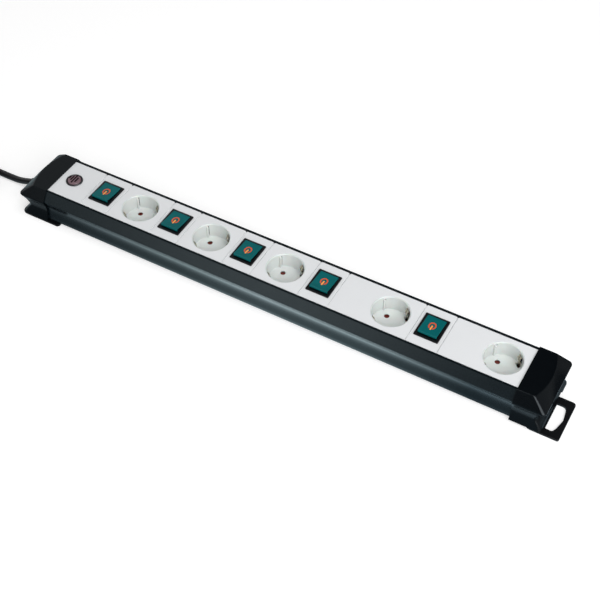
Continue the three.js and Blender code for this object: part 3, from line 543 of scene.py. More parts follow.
teal_side = moulded(
    "teal_edge", (0.0010, 0.0050, 0.0060), 0.3, grain=0.03, grain_size=0.0006, cloud=0.2,
    Specular_IOR_Level=0.25,
)
# The standby mark's orange and amber are its own colours. The faint emission on both is a painted
# glow.
painted_glow_orange = moulded(
    "orange_painted_glow", (0.60, 0.075, 0.022), 0.3, grain=0.02, grain_size=0.0008, cloud=0.25,
    Emission_Color=(1, 0.16, 0.035, 1), Emission_Strength=0.1,
)
painted_glow_amber = moulded(
    "amber_painted_glow", (0.8, 0.28, 0.05), 0.3, grain=0.02, grain_size=0.0008, cloud=0.2,
    Emission_Color=(1, 0.38, 0.07, 1), Emission_Strength=0.2,
)


def rounded_outline(x0, x1, y0, y1, radius, steps=4):
    """The corners of a rectangle with round corners, anticlockwise."""
    points = []
    for turn, (x, y) in enumerate((
        (x1 - radius, y0 + radius), (x1 - radius, y1 - radius), (x0 + radius, y1 - radius),
        (x0 + radius, y0 + radius),
    )):
        for i in range(steps + 1):
            angle = math.pi / 2 * (turn - 1 + i / steps)
            points.append((x + radius * math.cos(angle), y + radius * math.sin(angle)))
    return points


def switch_housing(x):
    """The flat bezel and the case below it, before the rocker's window is cut."""
    bezel = extruded(
        rounded_outline(x - BEZEL_X, x + BEZEL_X, -BEZEL_Y, BEZEL_Y, 0.0009),
        PANEL_TOP + 0.0001, BEZEL_TOP,
    )
    rounded_edges(bezel, 0.0003, 2, above=60)
    case = block(
        x - CASE_X, x + CASE_X, -CASE_Y, CASE_Y, CASE_BOTTOM, PANEL_TOP + 0.0005,
    )
    data = bpy.data.meshes.new("case")
    case.to_mesh(data)
    case.free()
    bezel.from_mesh(data)
    bpy.data.meshes.remove(data)
    return bezel


def set_in_rocker(mesh):
    """From the rocker's own frame to its place about the pivot, switched off."""
    place = Matrix.Translation((0, 0, PIVOT_Z)) @ Matrix.Rotation(ROCKER_TILT, 4, "X")
    bmesh.ops.transform(mesh, matrix=place, verts=mesh.verts)
    return mesh


def rocker(x):
    """The rocker's side view, run across its width. Its face is slightly hollow."""
    length = ROCKER_Y
    face = [(length * i / 8, ROCKER_FACE + 0.0005 * (i / 8) ** 2) for i in range(8, -9, -1)]
    under = [(-length, -0.0015), (-0.0055, -0.006), (0.0055, -0.006), (length, -0.0015)]
    profile = [(-length, ROCKER_DARK)] + under + [(length, ROCKER_DARK)] + face
    mesh = along_x(profile, x - ROCKER_X, x + ROCKER_X)
    rounded_edges(mesh, 0.00045, 3, above=50)
    mesh.normal_update()
    for face in mesh.faces:
        end = abs(face.normal.y) > 0.7 and face.calc_center_median().z > ROCKER_DARK
        face.material_index = int(face.normal.z < 0.55 and not end)
    return set_in_rocker(mesh)


def standby_ring(x):
    """An open ring, a little taller than wide, let into the rocker's face."""
    inner, outer, z = 0.0031, 0.0046, ROCKER_FACE
    gap = math.radians(26)
    mesh = bmesh.new()
    corners = [(inner, z - 0.0006), (outer, z - 0.0006), (outer, z + 0.00012), (inner, z + 0.00012)]
    points = [mesh.verts.new((0, -r, h)) for r, h in corners]
    face = mesh.faces.new(points)
    bmesh.ops.rotate(mesh, verts=points, cent=(0, 0, 0), matrix=Matrix.Rotation(gap, 3, "Z"))
    bmesh.ops.spin(
        mesh, geom=[face] + list(face.edges) + points, cent=(0, 0, 0), axis=(0, 0, 1),
        angle=2 * math.pi - 2 * gap, steps=32,
    )
    bmesh.ops.remove_doubles(mesh, verts=mesh.verts, dist=1e-6)
    bmesh.ops.scale(mesh, verts=mesh.verts, vec=(0.86, 1.14, 1))
    bmesh.ops.translate(mesh, verts=mesh.verts, vec=(x, 0, 0))
    return set_in_rocker(mesh)


def standby_bar(x):
    outline = rounded_outline(x - 0.0008, x + 0.0008, -0.0062, 0.0006, 0.0007)
    return set_in_rocker(extruded(outline, ROCKER_FACE - 0.0006, ROCKER_FACE + 0.00014))


for number in NUMBERS:
    middle = middle_x(f"switch_housing_{number}")
    housing = finished(
        f"switch_housing_{number}_body", switch_housing(middle), black,
        stands_for=[f"switch_housing_{number}"],
    )
    carved(housing, [block(
        middle - WINDOW_X, middle + WINDOW_X, -WINDOW_Y, WINDOW_Y, HOUSING_FLOOR, 0.05,
    )])
    body = f"rocker_{number}"
    cap = finished(f"{body}_cap", rocker(middle), teal, body, [body])
    cap.data.materials.append(teal_side)
    finished(f"standby_ring_{number}", standby_ring(middle), painted_glow_orange, body)
    finished(f"standby_bar_{number}", standby_bar(middle), painted_glow_amber, body)

# ---- Breaker ----
# A thermal breaker stands in its own plate: a dark threaded barrel with a rounded ring, and a
# clear smoky red button with four grip bars that is pressed to reset it.
RING_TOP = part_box("breaker_barrel")[1].z
BUTTON_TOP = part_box("reset_button")[1].z
smoky = moulded(
    "smoky_red", (0.185, 0.120, 0.136), 0.15, grain=0.02, grain_size=0.0008, cloud=0.2,
    Specular_IOR_Level=0.4,
)
smoky_dark = moulded(
    "smoky_grip", (0.008, 0.001, 0.003), 0.5, grain=0.03, grain_size=0.0006, cloud=0.15,
    Specular_IOR_Level=0.15,
)
ring_finish = moulded(
    "dark_ring", (0.030, 0.030, 0.033), 0.2, grain=0.03, grain_size=0.0006, Specular_IOR_Level=0.5,
)


def breaker_barrel():
    base = PANEL_TOP + 0.0001
    return turned([
        (0, 0.024), (0.0078, 0.024), (0.0078, base), (0.0093, base), (0.0095, base + 0.0002),
        (0.0095, base + 0.0006), (0.00935, base + 0.001), (0.0090, RING_TOP - 0.0002),
        (0.0087, RING_TOP), (0.0083, RING_TOP - 0.0001), (0.0079, RING_TOP - 0.0005),
        (0.0077, RING_TOP - 0.0012), (0.0077, 0.030), (0, 0.030),
    ], BREAKER_X, 0, 64)


def reset_button():
    top = BUTTON_TOP
    return turned([
        (0, 0.034), (0.0074, 0.034), (0.0074, top - 0.0012), (0.00725, top - 0.0008),
        (0.0069, top - 0.00045), (0.0062, top - 0.0002), (0.0048, top - 0.00005), (0, top),
    ], BREAKER_X, 0, 64)


def grip_bar(x, middle, length):
    low, high = BUTTON_TOP - 0.001, BUTTON_TOP + 0.0004
    mesh = block(x - 0.0008, x + 0.0008, middle - length, middle + length, low, high)
    return rounded_edges(mesh, 0.0002, 2)


finished("breaker_ring", breaker_barrel(), ring_finish,
         stands_for=["breaker_barrel"])
finished("reset_cap", reset_button(), smoky, "reset_button", ["reset_button"])
for index, (across, middle, length) in enumerate((
    (-0.0060, 0.0012, 0.0021), (-0.0031, 0.0009, 0.0037), (-0.0002, 0.0004, 0.0062),
    (0.0028, 0.0004, 0.0036),
)):
    finished(f"reset_grip_{index + 1}", grip_bar(BREAKER_X + across, middle, length), smoky_dark,
             "reset_button")

# ---- End caps ----
# A black moulded cap slides over each end of the channel. Its sides slope out from a narrow top
# to an edge in line with the channel's, draw in to a waist, and flare out again at the foot.
POCKET_DEPTH = 0.0103
SWING_ROOM = 0.0027
LEAD_HOLE = 0.0076
SCREW_OUT, SCREW_Y = 0.005, 0.028
cap_black = moulded(
    "cap_black", (0.0011, 0.0020, 0.0031), 0.2, grain=0.06, grain_size=0.0005,
    Specular_IOR_Level=0.32, Specular_Tint=(0.84, 0.95, 1.0, 1),
)
# Height, half width, reach past the row, bow of the end, and corner radius of each level.
CAP_LEVELS = (
    (0.0000, 0.0372, 0.0336, 0.0, 0.0045), (0.0005, 0.0375, 0.0340, 0.0, 0.0045),
    (0.0016, 0.0374, 0.0339, 0.0, 0.0045), (0.0045, 0.0362, 0.0322, 0.0, 0.0040),
    (0.0080, 0.0350, 0.0300, 0.0, 0.0036), (0.0115, 0.0342, 0.0268, 0.0, 0.0032),
    (0.0138, 0.0339, 0.0249, 0.0, 0.0030), (0.0150, 0.0338, 0.0245, 0.0, 0.0030),
    (0.0164, 0.0339, 0.0250, 0.0, 0.0030), (0.0190, 0.0343, 0.0266, 0.0, 0.0032),
    (0.0225, 0.0350, 0.0288, 0.0, 0.0036), (0.0256, 0.0361, 0.0313, 0.0, 0.0040),
    (0.0278, 0.0371, 0.0331, 0.0, 0.0044), (0.0288, 0.0375, 0.0338, 0.0, 0.0045),
    (0.0297, 0.0376, 0.0340, 0.0, 0.0045), (0.0306, 0.0374, 0.0338, 0.0002, 0.0045),
    (0.0314, 0.0369, 0.0330, 0.0007, 0.0043), (0.0372, 0.0333, 0.0259, 0.0034, 0.0034),
    (0.0420, 0.0304, 0.0197, 0.0053, 0.0026), (0.0425, 0.0300, 0.0190, 0.0055, 0.0024),
    (0.0428, 0.0294, 0.0182, 0.0055, 0.0022),
)


def cap_level(half, reach, bow, corner):
    """One level's outline past the row: straight sides and a bowed end with round corners."""
    points = [(0.0, -half)]
    for i in range(7):
        angle = math.pi / 2 * (i / 6 - 1)
        points.append((reach - corner + corner * math.cos(angle),
                       corner - half + corner * math.sin(angle)))
    straight = half - corner
    for i in range(1, 12):
        along = i / 6 - 1
        points.append((reach + bow * (1 - along * along), along * straight))
    for i in range(7):
        angle = math.pi / 2 * i / 6
        points.append((reach - corner + corner * math.cos(angle),
                       half - corner + corner * math.sin(angle)))
    return points + [(0.0, half)]


def cap(x, way):
    """The right cap has way 1, and the left one, its mirror image, has way -1."""
    mesh = bmesh.new()
    rings = []
    for z, half, reach, bow, corner in CAP_LEVELS:
        places = cap_level(half, reach, bow, corner)
        ring = [mesh.verts.new((x + way * u, v, z)) for u, v in places]
        rings.append([mesh.edges.new(pair) for pair in zip(ring, ring[1:] + ring[:1])])
    for low_ring, high_ring in zip(rings, rings[1:]):
        bmesh.ops.bridge_loops(mesh, edges=low_ring + high_ring)
    for ring in (rings[0], rings[-1]):
        bmesh.ops.contextual_create(mesh, geom=ring)
    return mesh


def cap_hollows(x, way):
    """The room for the channel's end, and for the bracket's swing under the cap."""
    room = [(y * 1.008 + 0.0003, z) for y, z in CHANNEL_HALF]
    pocket = [(0.0, 0.0026)] + room + [(0.0, PANEL_TOP + 0.0003)]
    pocket += [(-y, z) for y, z in reversed(room)]
    ends = sorted((x - way * 0.004, x + way * POCKET_DEPTH))
    sweep = sorted((x - way * 0.004, x + way * 0.06))
    return [
        along_x(pocket, *ends),
        block(*sweep, -0.06, 0.0215, -0.003, SWING_ROOM),
        drum(0.0036, -0.001, 0.0024, x + way * SCREW_OUT, SCREW_Y, 32),
    ]


def across_x(radius, x0, x1, y, z, sides=48):
    """A round hole or rod along X."""
    mesh = drum(radius, x0, x1, 0, 0, sides)
    place = Matrix.Translation((0, y, z)) @ Matrix.Rotation(math.pi / 2, 4, "Y")
    bmesh.ops.transform(mesh, matrix=place, verts=mesh.verts)
    return mesh


EXIT_Z = 0.015
lead_hole = across_x(LEAD_HOLE, LEFT_END - 0.045, LEFT_END - 0.025, 0, EXIT_Z)
for side, x, way, holes in (("right", RIGHT_END, 1, []), ("left", LEFT_END, -1, [lead_hole])):
    piece = finished(f"{side}_end_cap", cap(x, way), cap_black,
                     stands_for=[f"{side}_cap"])
    carved(piece, cap_hollows(x, way) + holes, 24)

# ---- Hanging brackets ----
# A flat moulded plate with a long loop turns on a steel rivet under each cap. The right one is
# swung out of the strip's end and the left one is folded away under it.
PIVOT_OUT, PIVOT_Y = 0.026, -0.027
BRACKET_THICKNESS = 0.0024
PLATE = (
    (-0.0100, -0.0035), (-0.0095, -0.0059), (-0.0082, -0.0077), (-0.0064, -0.0090),
    (-0.0040, -0.0095), (0.0235, -0.0095), (0.0243, -0.0093), (0.0249, -0.0089),
    (0.0253, -0.0083), (0.0255, -0.0075), (0.0255, 0.0376), (0.0252, 0.0389), (0.0245, 0.0400),
    (0.0234, 0.0407), (0.0221, 0.0410), (-0.0068, 0.0410), (-0.0081, 0.0407), (-0.0091, 0.0399),
    (-0.0098, 0.0390), (-0.0100, 0.0378),
)
LOOP = (
    (0.0087, -0.0008), (0.0090, -0.0014), (0.0097, -0.0018), (0.0148, -0.0019), (0.0159, -0.0015),
    (0.0168, -0.0004), (0.0183, 0.0030), (0.0205, 0.0128), (0.0208, 0.0150), (0.0207, 0.0172),
    (0.0191, 0.0275), (0.0184, 0.0300), (0.0170, 0.0315), (0.0150, 0.0320), (0.0097, 0.0320),
    (0.0090, 0.0317), (0.0087, 0.0310),
)
bracket_black = moulded(
    "bracket_black", (0.0024, 0.0030, 0.0040), 0.34, grain=0.12, grain_size=0.0006,
    Specular_IOR_Level=0.3,
)
plated = moulded(
    "zinc_plate", (0.55, 0.56, 0.57), 0.32, grain=0.08, grain_size=0.0005, Metallic=1.0,
)


def bracket(pivot_x, way, turn):
    """The bracket and what is cut from it: its loop, and the seat of its rivet."""
    mesh = extruded(PLATE, 0, BRACKET_THICKNESS)
    rounded_edges(mesh, 0.0005, 3, above=60)
    loop = extruded(LOOP, -0.001, 0.004)
    place = Matrix.Translation((pivot_x, PIVOT_Y, 0)) @ Matrix.Scale(way, 4, (1, 0, 0))
    place = place @ Matrix.Rotation(turn, 4, "Z")
    for shape in (mesh, loop):
        bmesh.ops.transform(shape, matrix=place, verts=shape.verts)
    return mesh, [
        loop, drum(0.0028, -0.001, 0.004, pivot_x, PIVOT_Y, 40),
        drum(0.0053, -0.001, 0.0015, pivot_x, PIVOT_Y, 48),
    ]


def rivet(x, y):
    return turned([
        (0, 0.0002), (0.0040, 0.0002), (0.0047, 0.0004), (0.005, 0.0008), (0.005, 0.0012),
        (0.0025, 0.0012), (0.0025, 0.0059), (0, 0.0059),
    ], x, y, 40)


for side, x, way, turn in (("right", RIGHT_END, 1, 0), ("left", LEFT_END, -1, math.pi / 2)):
    pivot_x = x + way * PIVOT_OUT
    plate, holes = bracket(pivot_x, way, turn)
    piece = finished(f"{side}_hanging_bracket", plate, bracket_black, f"{side}_bracket",
                     [f"{side}_bracket"])
    carved(piece, holes, 40)
    finished(f"{side}_rivet_body", rivet(pivot_x, PIVOT_Y), plated,
             stands_for=[f"{side}_rivet"])

# ---- Cap screws ----
# One zinc-plated self-tapping screw holds each cap to the channel's floor. It is driven from
# below, by the cross recess in its round head.


def cap_screw(x, y):
    """The screw, and the two bars of the cross that is cut from its head."""
    mesh = turned([
        (0, 0.0005), (0.0022, 0.0005), (0.0030, 0.0009), (0.0032, 0.0013), (0.0032, 0.0021),
        (0.0015, 0.0021), (0.0015, 0.009), (0.0004, 0.0105), (0, 0.0105),
    ], x, y, 40)
    bars = [
        block(x - 0.0018, x + 0.0018, y - 0.00035, y + 0.00035, 0.0002, 0.0013),
        block(x - 0.00035, x + 0.00035, y - 0.0018, y + 0.0018, 0.0002, 0.0013),
    ]
    return mesh, bars


for side, x in (("right", RIGHT_END + SCREW_OUT), ("left", LEFT_END - SCREW_OUT)):
    screw, recess = cap_screw(x, SCREW_Y)
    piece = finished(f"{side}_screw", screw, plated, stands_for=[f"{side}_cap_screw"])
    carved(piece, recess)

# ---- Earth contacts ----
# A nickel-plated spring strip runs under each recess and comes up through its floor as a split
# clip at both sides. It is folded from one band and held between the floor and the skirt.
clip_metal = moulded(
    "spring_nickel", (0.52, 0.47, 0.38), 0.18, grain=0.05, grain_size=0.0004, Metallic=1.0,
)
CLIP_HALF = (
    (0.0190, 0.0188), (0.0190, 0.0290), (0.0184, 0.0312), (0.0174, 0.0330), (0.0170, 0.0341),
    (0.0173, 0.0352), (0.0182, 0.0368), (0.0189, 0.0382), (0.0182, 0.0384), (0.0174, 0.0371),
    (0.0165, 0.0354), (0.0162, 0.0341), (0.0166, 0.0327), (0.0176, 0.0309), (0.0182, 0.0290),
    (0.0182, 0.0196),
)
CLIP_WIDTH = 0.005


def clip_strip(x):
    section = list(CLIP_HALF) + [(-u, z) for u, z in reversed(CLIP_HALF)]
    mesh = bmesh.new()
    face = mesh.faces.new([mesh.verts.new((u, -CLIP_WIDTH / 2, z)) for u, z in section])
    pushed(mesh, [face], (0, CLIP_WIDTH, 0))
    place = Matrix.Translation((x, 0, 0)) @ Matrix.Rotation(math.pi / 4, 4, "Z")
    bmesh.ops.transform(mesh, matrix=place, verts=mesh.verts)
    return mesh


for number in NUMBERS:
    node = f"earth_contact_{number}"
    middle = middle_x(node)
    piece = finished(f"earth_clips_{number}", clip_strip(middle), clip_metal,
                     stands_for=[node])
    slits = [
        radial(middle, side, 0.0155, 0.0195, -0.0004, 0.0004, 0.0300, 0.0390, math.pi / 4)
        for side in (-1, 1)
    ]
    carved(piece, slits + [drum(0.0022, 0.0, 0.03, middle, 0, 24)], 40)

# ---- Shutters and conductors ----
# The red-brown shutter discs under the pin holes, and the brass bars that feed the sockets, keep
# their own shapes.
shutter_red = moulded(
    "shutter_red", (0.16, 0.022, 0.014), 0.45, grain=0.1, grain_size=0.0005, cloud=0.15,
)
bar_brass = moulded(
    "bar_brass", (0.62, 0.44, 0.17), 0.3, grain=0.12, grain_size=0.0007, cloud=0.15, Metallic=1.0,
)
for name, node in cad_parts.items():
    brass = name.startswith("live_contact") or name.endswith("_bar")
    if brass or name.startswith("shutter"):
        node.data.materials.clear()
        node.data.materials.append(bar_brass if brass else shutter_red)

# ---- Strain relief ----
# A black PVC sleeve is moulded on the lead. Its stem and flanges lock in the left cap, and its
# ribbed taper bends with the lead where that leaves the cap.
EXIT_X = ROW_START - 0.0245


def lead_at(x):
    """Height and slope of the lead's middle, on its way from the cap to the ground."""
    along = LEAD_ROUTE
    i = 1
    while i < len(along) - 3 and along[i + 1][0] > x:
        i += 1
    (xa, za), (xb, zb), (xc, zc), (xd, zd) = along[i - 1:i + 3]
    share = min(max((x - xb) / (xc - xb), 0), 1)
    first, last = (zc - za) / (xc - xa) * (xc - xb), (zd - zb) / (xd - xb) * (xc - xb)
    cubic, square = 2 * zb - 2 * zc + first + last, -3 * zb + 3 * zc - 2 * first - last
    height = ((cubic * share + square) * share + first) * share + zb
    slope = ((3 * cubic * share + 2 * square) * share + first) / (xc - xb)
    return height, slope


def strain_relief():
    """It is spun straight and then bent, ring by ring, onto the lead's middle line."""
    bore = CORD_DIAMETER / 2 + 0.00005
    profile = [
        (bore, -0.0075), (0.0073, -0.0075), (0.0073, -0.0058), (0.0050, -0.0058), (0.0050, 0.0008),
        (0.0073, 0.0008), (0.0073, 0.0026), (0.0070, 0.0033), (0.0063, 0.0036),
    ]
    for i in range(7):
        start, radius = 0.0043 + 0.0026 * i, 0.0062 - 0.00024 * i
        groove = max(radius - 0.0011, 0.0043)
        profile += [
            (groove, start), (groove, start + 0.0009), (radius - 0.0002, start + 0.0011),
            (radius, start + 0.0014), (radius - 0.0001, start + 0.0022),
        ]
    profile += [(0.0044, 0.0225), (bore, 0.0225)]
    mesh = turned(profile, 0, 0, 40)
    for vert in mesh.verts:
        across, up, out = vert.co.y, vert.co.x, vert.co.z
        height, slope = lead_at(EXIT_X - out - ROW_START)
        lean = Vector((-slope, 1)).normalized()
        vert.co = (EXIT_X - out + lean.x * up, across, height + lean.y * up)
    return mesh


relief = finished("lead_strain_relief", strain_relief(), flex_black,
                  stands_for=["strain_relief"])

# ---- Hook-and-loop ties ----
# Two black woven straps hold the hank, one round each side of it. Each is wrapped once round the
# bundle and its end is pressed down on itself.
TIE_WIDTH = 0.016
TIE_THICKNESS = 0.0009
TIE_X = ROW_START + HANK_RIGHT - HANK_STRAIGHT / 2
strap = moulded(
    "woven_strap", (0.012, 0.012, 0.013), 0.85, grain=0.5, grain_size=0.0005, cloud=0.25,
    Specular_IOR_Level=0.2, Sheen_Weight=0.25,
)


def hank_tie(y0, y1, top):
    """The band of a tie, close round one side of the hank."""
    mesh = bmesh.new()
    rings = []
    for room in (0.00095, 0.00005):
        shape = rounded_outline(y0 - room, y1 + room, 0.00095 - room, top + room, 0.0022 + room, 6)
        ring = [mesh.verts.new((TIE_X - TIE_WIDTH / 2, y, z)) for y, z in shape]
        rings += [mesh.edges.new(pair) for pair in zip(ring, ring[1:] + ring[:1])]
    band = bmesh.ops.bridge_loops(mesh, edges=rings)["faces"]
    return rounded_edges(pushed(mesh, band, (TIE_WIDTH, 0, 0)), 0.0002, 2, above=60)


def tie_end(y0, y1, top):
    """The free end of a tie, which lies on the strap's top and curls up a little at its tip."""
    length = y1 - y0 - 0.001
    mesh = bmesh.new()
    bmesh.ops.create_grid(mesh, x_segments=4, y_segments=10, size=0.5)
    bmesh.ops.scale(mesh, verts=mesh.verts, vec=(TIE_WIDTH, length, 1))
    for vert in mesh.verts:
        share = vert.co.y / length + 0.5
        vert.co.x *= 1 - 0.35 * max(share - 0.75, 0) / 0.25
        vert.co.z = 0.0012 * max(share - 0.7, 0) ** 2 / 0.09
    bmesh.ops.solidify(mesh, geom=mesh.faces[:], thickness=-TIE_THICKNESS)
    low = min(v.co.z for v in mesh.verts)
    bmesh.ops.translate(mesh, verts=mesh.verts, vec=(TIE_X, (y0 + y1) / 2, top + 0.00097 - low))
    return mesh


HANK_TOP = HANK_LIFT + 4 * CORD_DIAMETER + 0.00015
HANK_SIDE = -2 * HANK_OUTER
for number, (y0, y1) in enumerate((
    (-1.5 * CORD_DIAMETER, 0.5 * CORD_DIAMETER),
    (HANK_SIDE - 0.5 * CORD_DIAMETER, HANK_SIDE + 1.5 * CORD_DIAMETER),
)):
    name = f"hank_tie_{number + 1}"
    finished(f"{name}_strap", hank_tie(y0, y1, HANK_TOP), strap,
                         stands_for=[name])
    finished(f"{name}_end", tie_end(y0, y1, HANK_TOP), strap)

# ---- Plug ----
# An earthed plug of black rubber is moulded on the lead's end. It has two nickel-plated round
# pins, a guide notch beside each, two side earth strips and a hole for an earth pin.
PLUG_X = EXIT_X - 0.3135
PLUG_RADIUS = 0.0184
PLUG_FACE = 0.0238
PIN_OFFSET = 0.0095
TAIL_Z = 0.008
EARTH_HOLE_X = PLUG_X - 0.0105
plug_black = moulded(
    "plug_black", (0.011, 0.0115, 0.0125), 0.5, grain=0.25, grain_size=0.0005,
    Specular_IOR_Level=0.4,
)
nickel = moulded(
    "plated_nickel", (0.66, 0.64, 0.58), 0.22, grain=0.04, grain_size=0.0005, Metallic=1.0,
)


def plug_housing():
    radius = PLUG_RADIUS
    return turned([
        (0, 0), (radius - 0.0040, 0), (radius - 0.0024, 0.0004), (radius - 0.0010, 0.0013),
        (radius - 0.0003, 0.0027), (radius - 0.0008, 0.0060), (radius - 0.0010, 0.0085),
        (radius - 0.0007, 0.0115), (radius, 0.0140), (radius, 0.0149), (radius - 0.0003, 0.0152),
        (radius - 0.0007, 0.0155), (radius - 0.0007, 0.0226), (radius - 0.0009, 0.0232),
        (radius - 0.0014, PLUG_FACE - 0.0001), (radius - 0.0018, PLUG_FACE), (0, PLUG_FACE),
    ], PLUG_X, 0, 72)


def plug_boot():
    """The tapered tail of the plug, with grooves round it, which holds the lead."""
    profile = [(0, -0.012), (0.0078, -0.012), (0.0078, 0.0035)]
    for i in range(6):
        start, radius = 0.0045 + 0.0032 * i, 0.0075 - 0.00036 * i
        profile += [
            (radius, start), (radius - 0.0001, start + 0.0016), (radius - 0.0009, start + 0.0019),
            (radius - 0.0009, start + 0.0028),
        ]
    profile += [(0.0052, 0.0236), (0.0049, 0.0240), (0, 0.0240)]
    mesh = turned(profile, 0, 0, 40)
    place = Matrix.Translation((PLUG_X + PLUG_RADIUS, 0, TAIL_Z))
    place = place @ Matrix.Rotation(math.pi / 2, 4, "Y")
    bmesh.ops.transform(mesh, matrix=place, verts=mesh.verts)
    return mesh


def plug_pin(y):
    return turned([
        (0, 0.0130), (0.0024, 0.0130), (0.0024, 0.0400), (0.00232, 0.0408), (0.0021, 0.0416),
        (0.00165, 0.0423), (0.0009, 0.0427), (0, 0.0428),
    ], PLUG_X, y, 32)


def earth_strip(side):
    """A sprung strip in the plug's side, which bends over the edge of its face."""
    outer = PLUG_RADIUS - 0.0003
    section = [
        (outer - 0.0009, 0.0150), (outer, 0.0150), (outer + 0.0001, 0.0190),
        (outer - 0.0002, 0.0222), (outer - 0.0010, 0.0233), (outer - 0.0030, 0.0236),
        (outer - 0.0030, 0.0231), (outer - 0.0013, 0.0228), (outer - 0.0007, 0.0219),
    ]
    mesh = bmesh.new()
    face = mesh.faces.new([mesh.verts.new((PLUG_X + side * u, -0.0027, z)) for u, z in section])
    return rounded_edges(pushed(mesh, [face], (0, 0.0054, 0)), 0.00012, 2, above=50)


housing = finished("plug_housing", plug_housing(), plug_black,
                   stands_for=["plug_body"])
openings = [drum(0.0026, 0.0225, 0.03, EARTH_HOLE_X, 0, 32)]
for side in (-1, 1):
    openings += [
        drum(0.00245, 0.012, 0.03, PLUG_X, side * PIN_OFFSET, 32),
        block(PLUG_X - 0.0027, PLUG_X + 0.0027, side * 0.018 - 0.0023, side * 0.018 + 0.0023,
              0.0135, 0.03),
        radial(PLUG_X, side, 0.01465, 0.01845, -0.0029, 0.0029, 0.0148, 0.03, 0.0),
    ]
carved(housing, openings)
plug_pieces = [housing, finished("plug_tail", plug_boot(), plug_black)]
plug_pieces.append(finished(
    "plug_earth_socket",
    turned([(0.0016, 0.0200), (0.0026, 0.0200), (0.0026, 0.0237), (0.0022, 0.0238),
            (0.0016, 0.0233)], EARTH_HOLE_X, 0, 32),
    nickel,
))
for number, side in ((1, 1), (2, -1)):
    node = f"plug_pin_{number}"
    plug_pieces.append(finished(f"{node}_round", plug_pin(side * PIN_OFFSET), nickel,
                                stands_for=[node]))
    plug_pieces.append(finished(f"plug_earth_strip_{number}", earth_strip(side), nickel))

# ---- Floor and light ----
# A plain pale floor that shows white and keeps the object's shadow, under soft studio light from
# two large lamps. In glossy surfaces the floor shows graded, brightest below the strip's middle
# and close beside it.


def part_of(vector, axis):
    return vector.node("SeparateXYZ", {}, {"Vector": vector}, axis)


def limited(value, most):
    """The value, kept between 0 and the most it may be."""
    return value.maths("MINIMUM", value.maths("MAXIMUM", value, 0.0), most)


floor_mesh = bmesh.new()
bmesh.ops.create_grid(floor_mesh, x_segments=1, y_segments=1, size=6)
bmesh.ops.translate(floor_mesh, verts=floor_mesh.verts, vec=(0, 0, -0.0001))
floor_data = bpy.data.meshes.new("floor")
floor_mesh.to_mesh(floor_data)
floor_mesh.free()
floor = bpy.data.objects.new("floor", floor_data)
bpy.context.scene.collection.objects.link(floor)
floor_finish = bpy.data.materials.new("pale_floor")
floor_finish.use_nodes = True
floor_tree = floor_finish.node_tree
floor_tree.nodes.remove(floor_tree.nodes["Principled BSDF"])
rays = floor_tree.nodes.new("ShaderNodeLightPath")
seen = Shade(floor_tree, rays.outputs["Is Camera Ray"])
mirrored = Shade(floor_tree, rays.outputs["Is Glossy Ray"])
through = Shade(floor_tree, rays.outputs["Is Transmission Ray"])
straight = seen.maths("MAXIMUM", seen, through)
bare = seen.node("BsdfDiffuse", {}, {"Color": (0.8, 0.8, 0.8, 1)})
dimmed = seen.node("BsdfDiffuse", {}, {"Color": (0.6, 0.6, 0.6, 1)})
glow = seen.node("Emission", {}, {"Color": (1, 1, 1, 1), "Strength": 0.55})
shown = seen.node("AddShader", {}, {0: dimmed, 1: glow})
ground = Shade(floor_tree, floor_tree.nodes.new("ShaderNodeTexCoord").outputs["Object"])
along_strip = part_of(ground, 0) * 1.25 + 0.5
lit_ground = ground.node("ValToRGB", {"stops": [
    (0.0, (0.13, 0.16, 0.17)), (0.14, (0.08, 0.10, 0.11)), (0.22, (0.2, 0.25, 0.27)),
    (0.35, (0.40, 0.50, 0.52)), (0.48, (0.66, 0.79, 0.83)), (0.63, (0.56, 0.69, 0.73)),
    (0.78, (0.14, 0.19, 0.22)), (0.88, (0.18, 0.23, 0.26)), (1.0, (0.1, 0.12, 0.13)),
]}, {"Fac": along_strip})
behind_strip = limited(part_of(ground, 1) * 8.0, 0.9)
beside_strip = limited((part_of(ground, 1) + 0.044) / 0.006, 1.0)
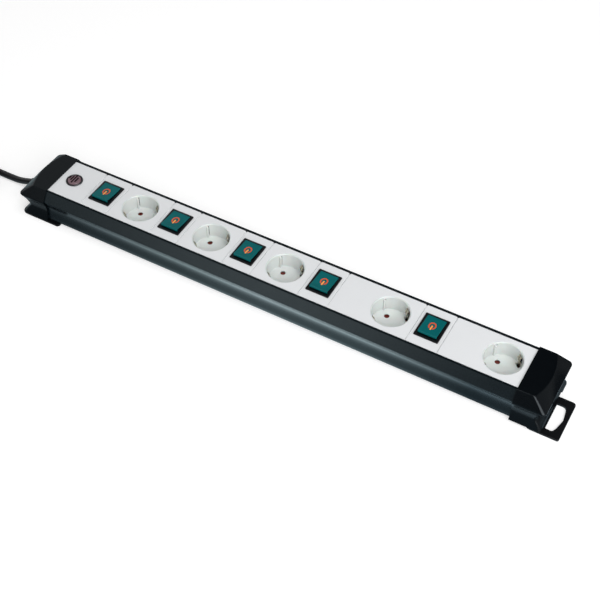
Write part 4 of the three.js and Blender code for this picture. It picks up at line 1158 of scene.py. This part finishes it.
reflected = seen.node("Emission", {}, {
    "Color": lit_ground, "Strength": (1 - behind_strip) * (beside_strip * 1.8 + 1.2),
})
covered = seen.node("MixShader", {}, {0: straight, 1: bare, 2: shown})
covered = seen.node("MixShader", {}, {0: mirrored, 1: covered, 2: reflected})
floor_tree.links.new(covered.socket, floor_tree.nodes["Material Output"].inputs["Surface"])
floor_data.materials.append(floor_finish)

# The surround is a pale room. Its back is bright on the left side only, and its front has one
# bright window, low down on the left.
world = bpy.data.worlds.new("surround")
bpy.context.scene.world = world
world.use_nodes = True
sky = world.node_tree
outward = Shade(sky, sky.nodes.new("ShaderNodeTexCoord").outputs["Generated"])
sideways = part_of(outward, 0) * 0.5 + 0.5
behind = limited(part_of(outward, 1) * 2.5 + 0.5, 1.0)
back, front = (
    outward.node("ValToRGB", {"stops": [(place, (grey,) * 3) for place, grey in stops]},
                 {"Fac": sideways})
    for stops in (
        ((0.0, 0.9), (0.12, 0.9), (0.20, 0.4), (0.30, 0.3), (0.40, 0.12), (0.46, 0.02),
         (0.60, 0.02), (1.0, 0.4)),
        ((0.0, 0.3), (0.24, 0.12), (0.30, 0.8), (0.35, 1), (0.40, 0.25), (0.44, 0.02),
         (0.70, 0.1), (1.0, 0.4)),
    )
)
strength = back * behind + front * (1 - behind) * 1.3
sky.links.new(strength.socket, sky.nodes["Background"].inputs["Strength"])
sky.nodes["Background"].inputs["Color"].default_value = (1, 1, 1, 1)


def lamp(name, place, aim, width, height, power):
    data = bpy.data.lights.new(name, "AREA")
    data.shape = "RECTANGLE"
    data.size = width
    data.size_y = height
    data.energy = power
    made = bpy.data.objects.new(name, data)
    made.location = place
    made.rotation_euler = (Vector(aim) - Vector(place)).to_track_quat("-Z", "Y").to_euler()
    bpy.context.scene.collection.objects.link(made)


lamp("key", (1.5, -1.4, 1.35), (0, 0, 0), 2.0, 2.0, 47)
lamp("top", (0.5, 0.0, 2.0), (0, 0, 0), 1.0, 1.0, 14)
bpy.context.scene.view_settings.view_transform = "Standard"
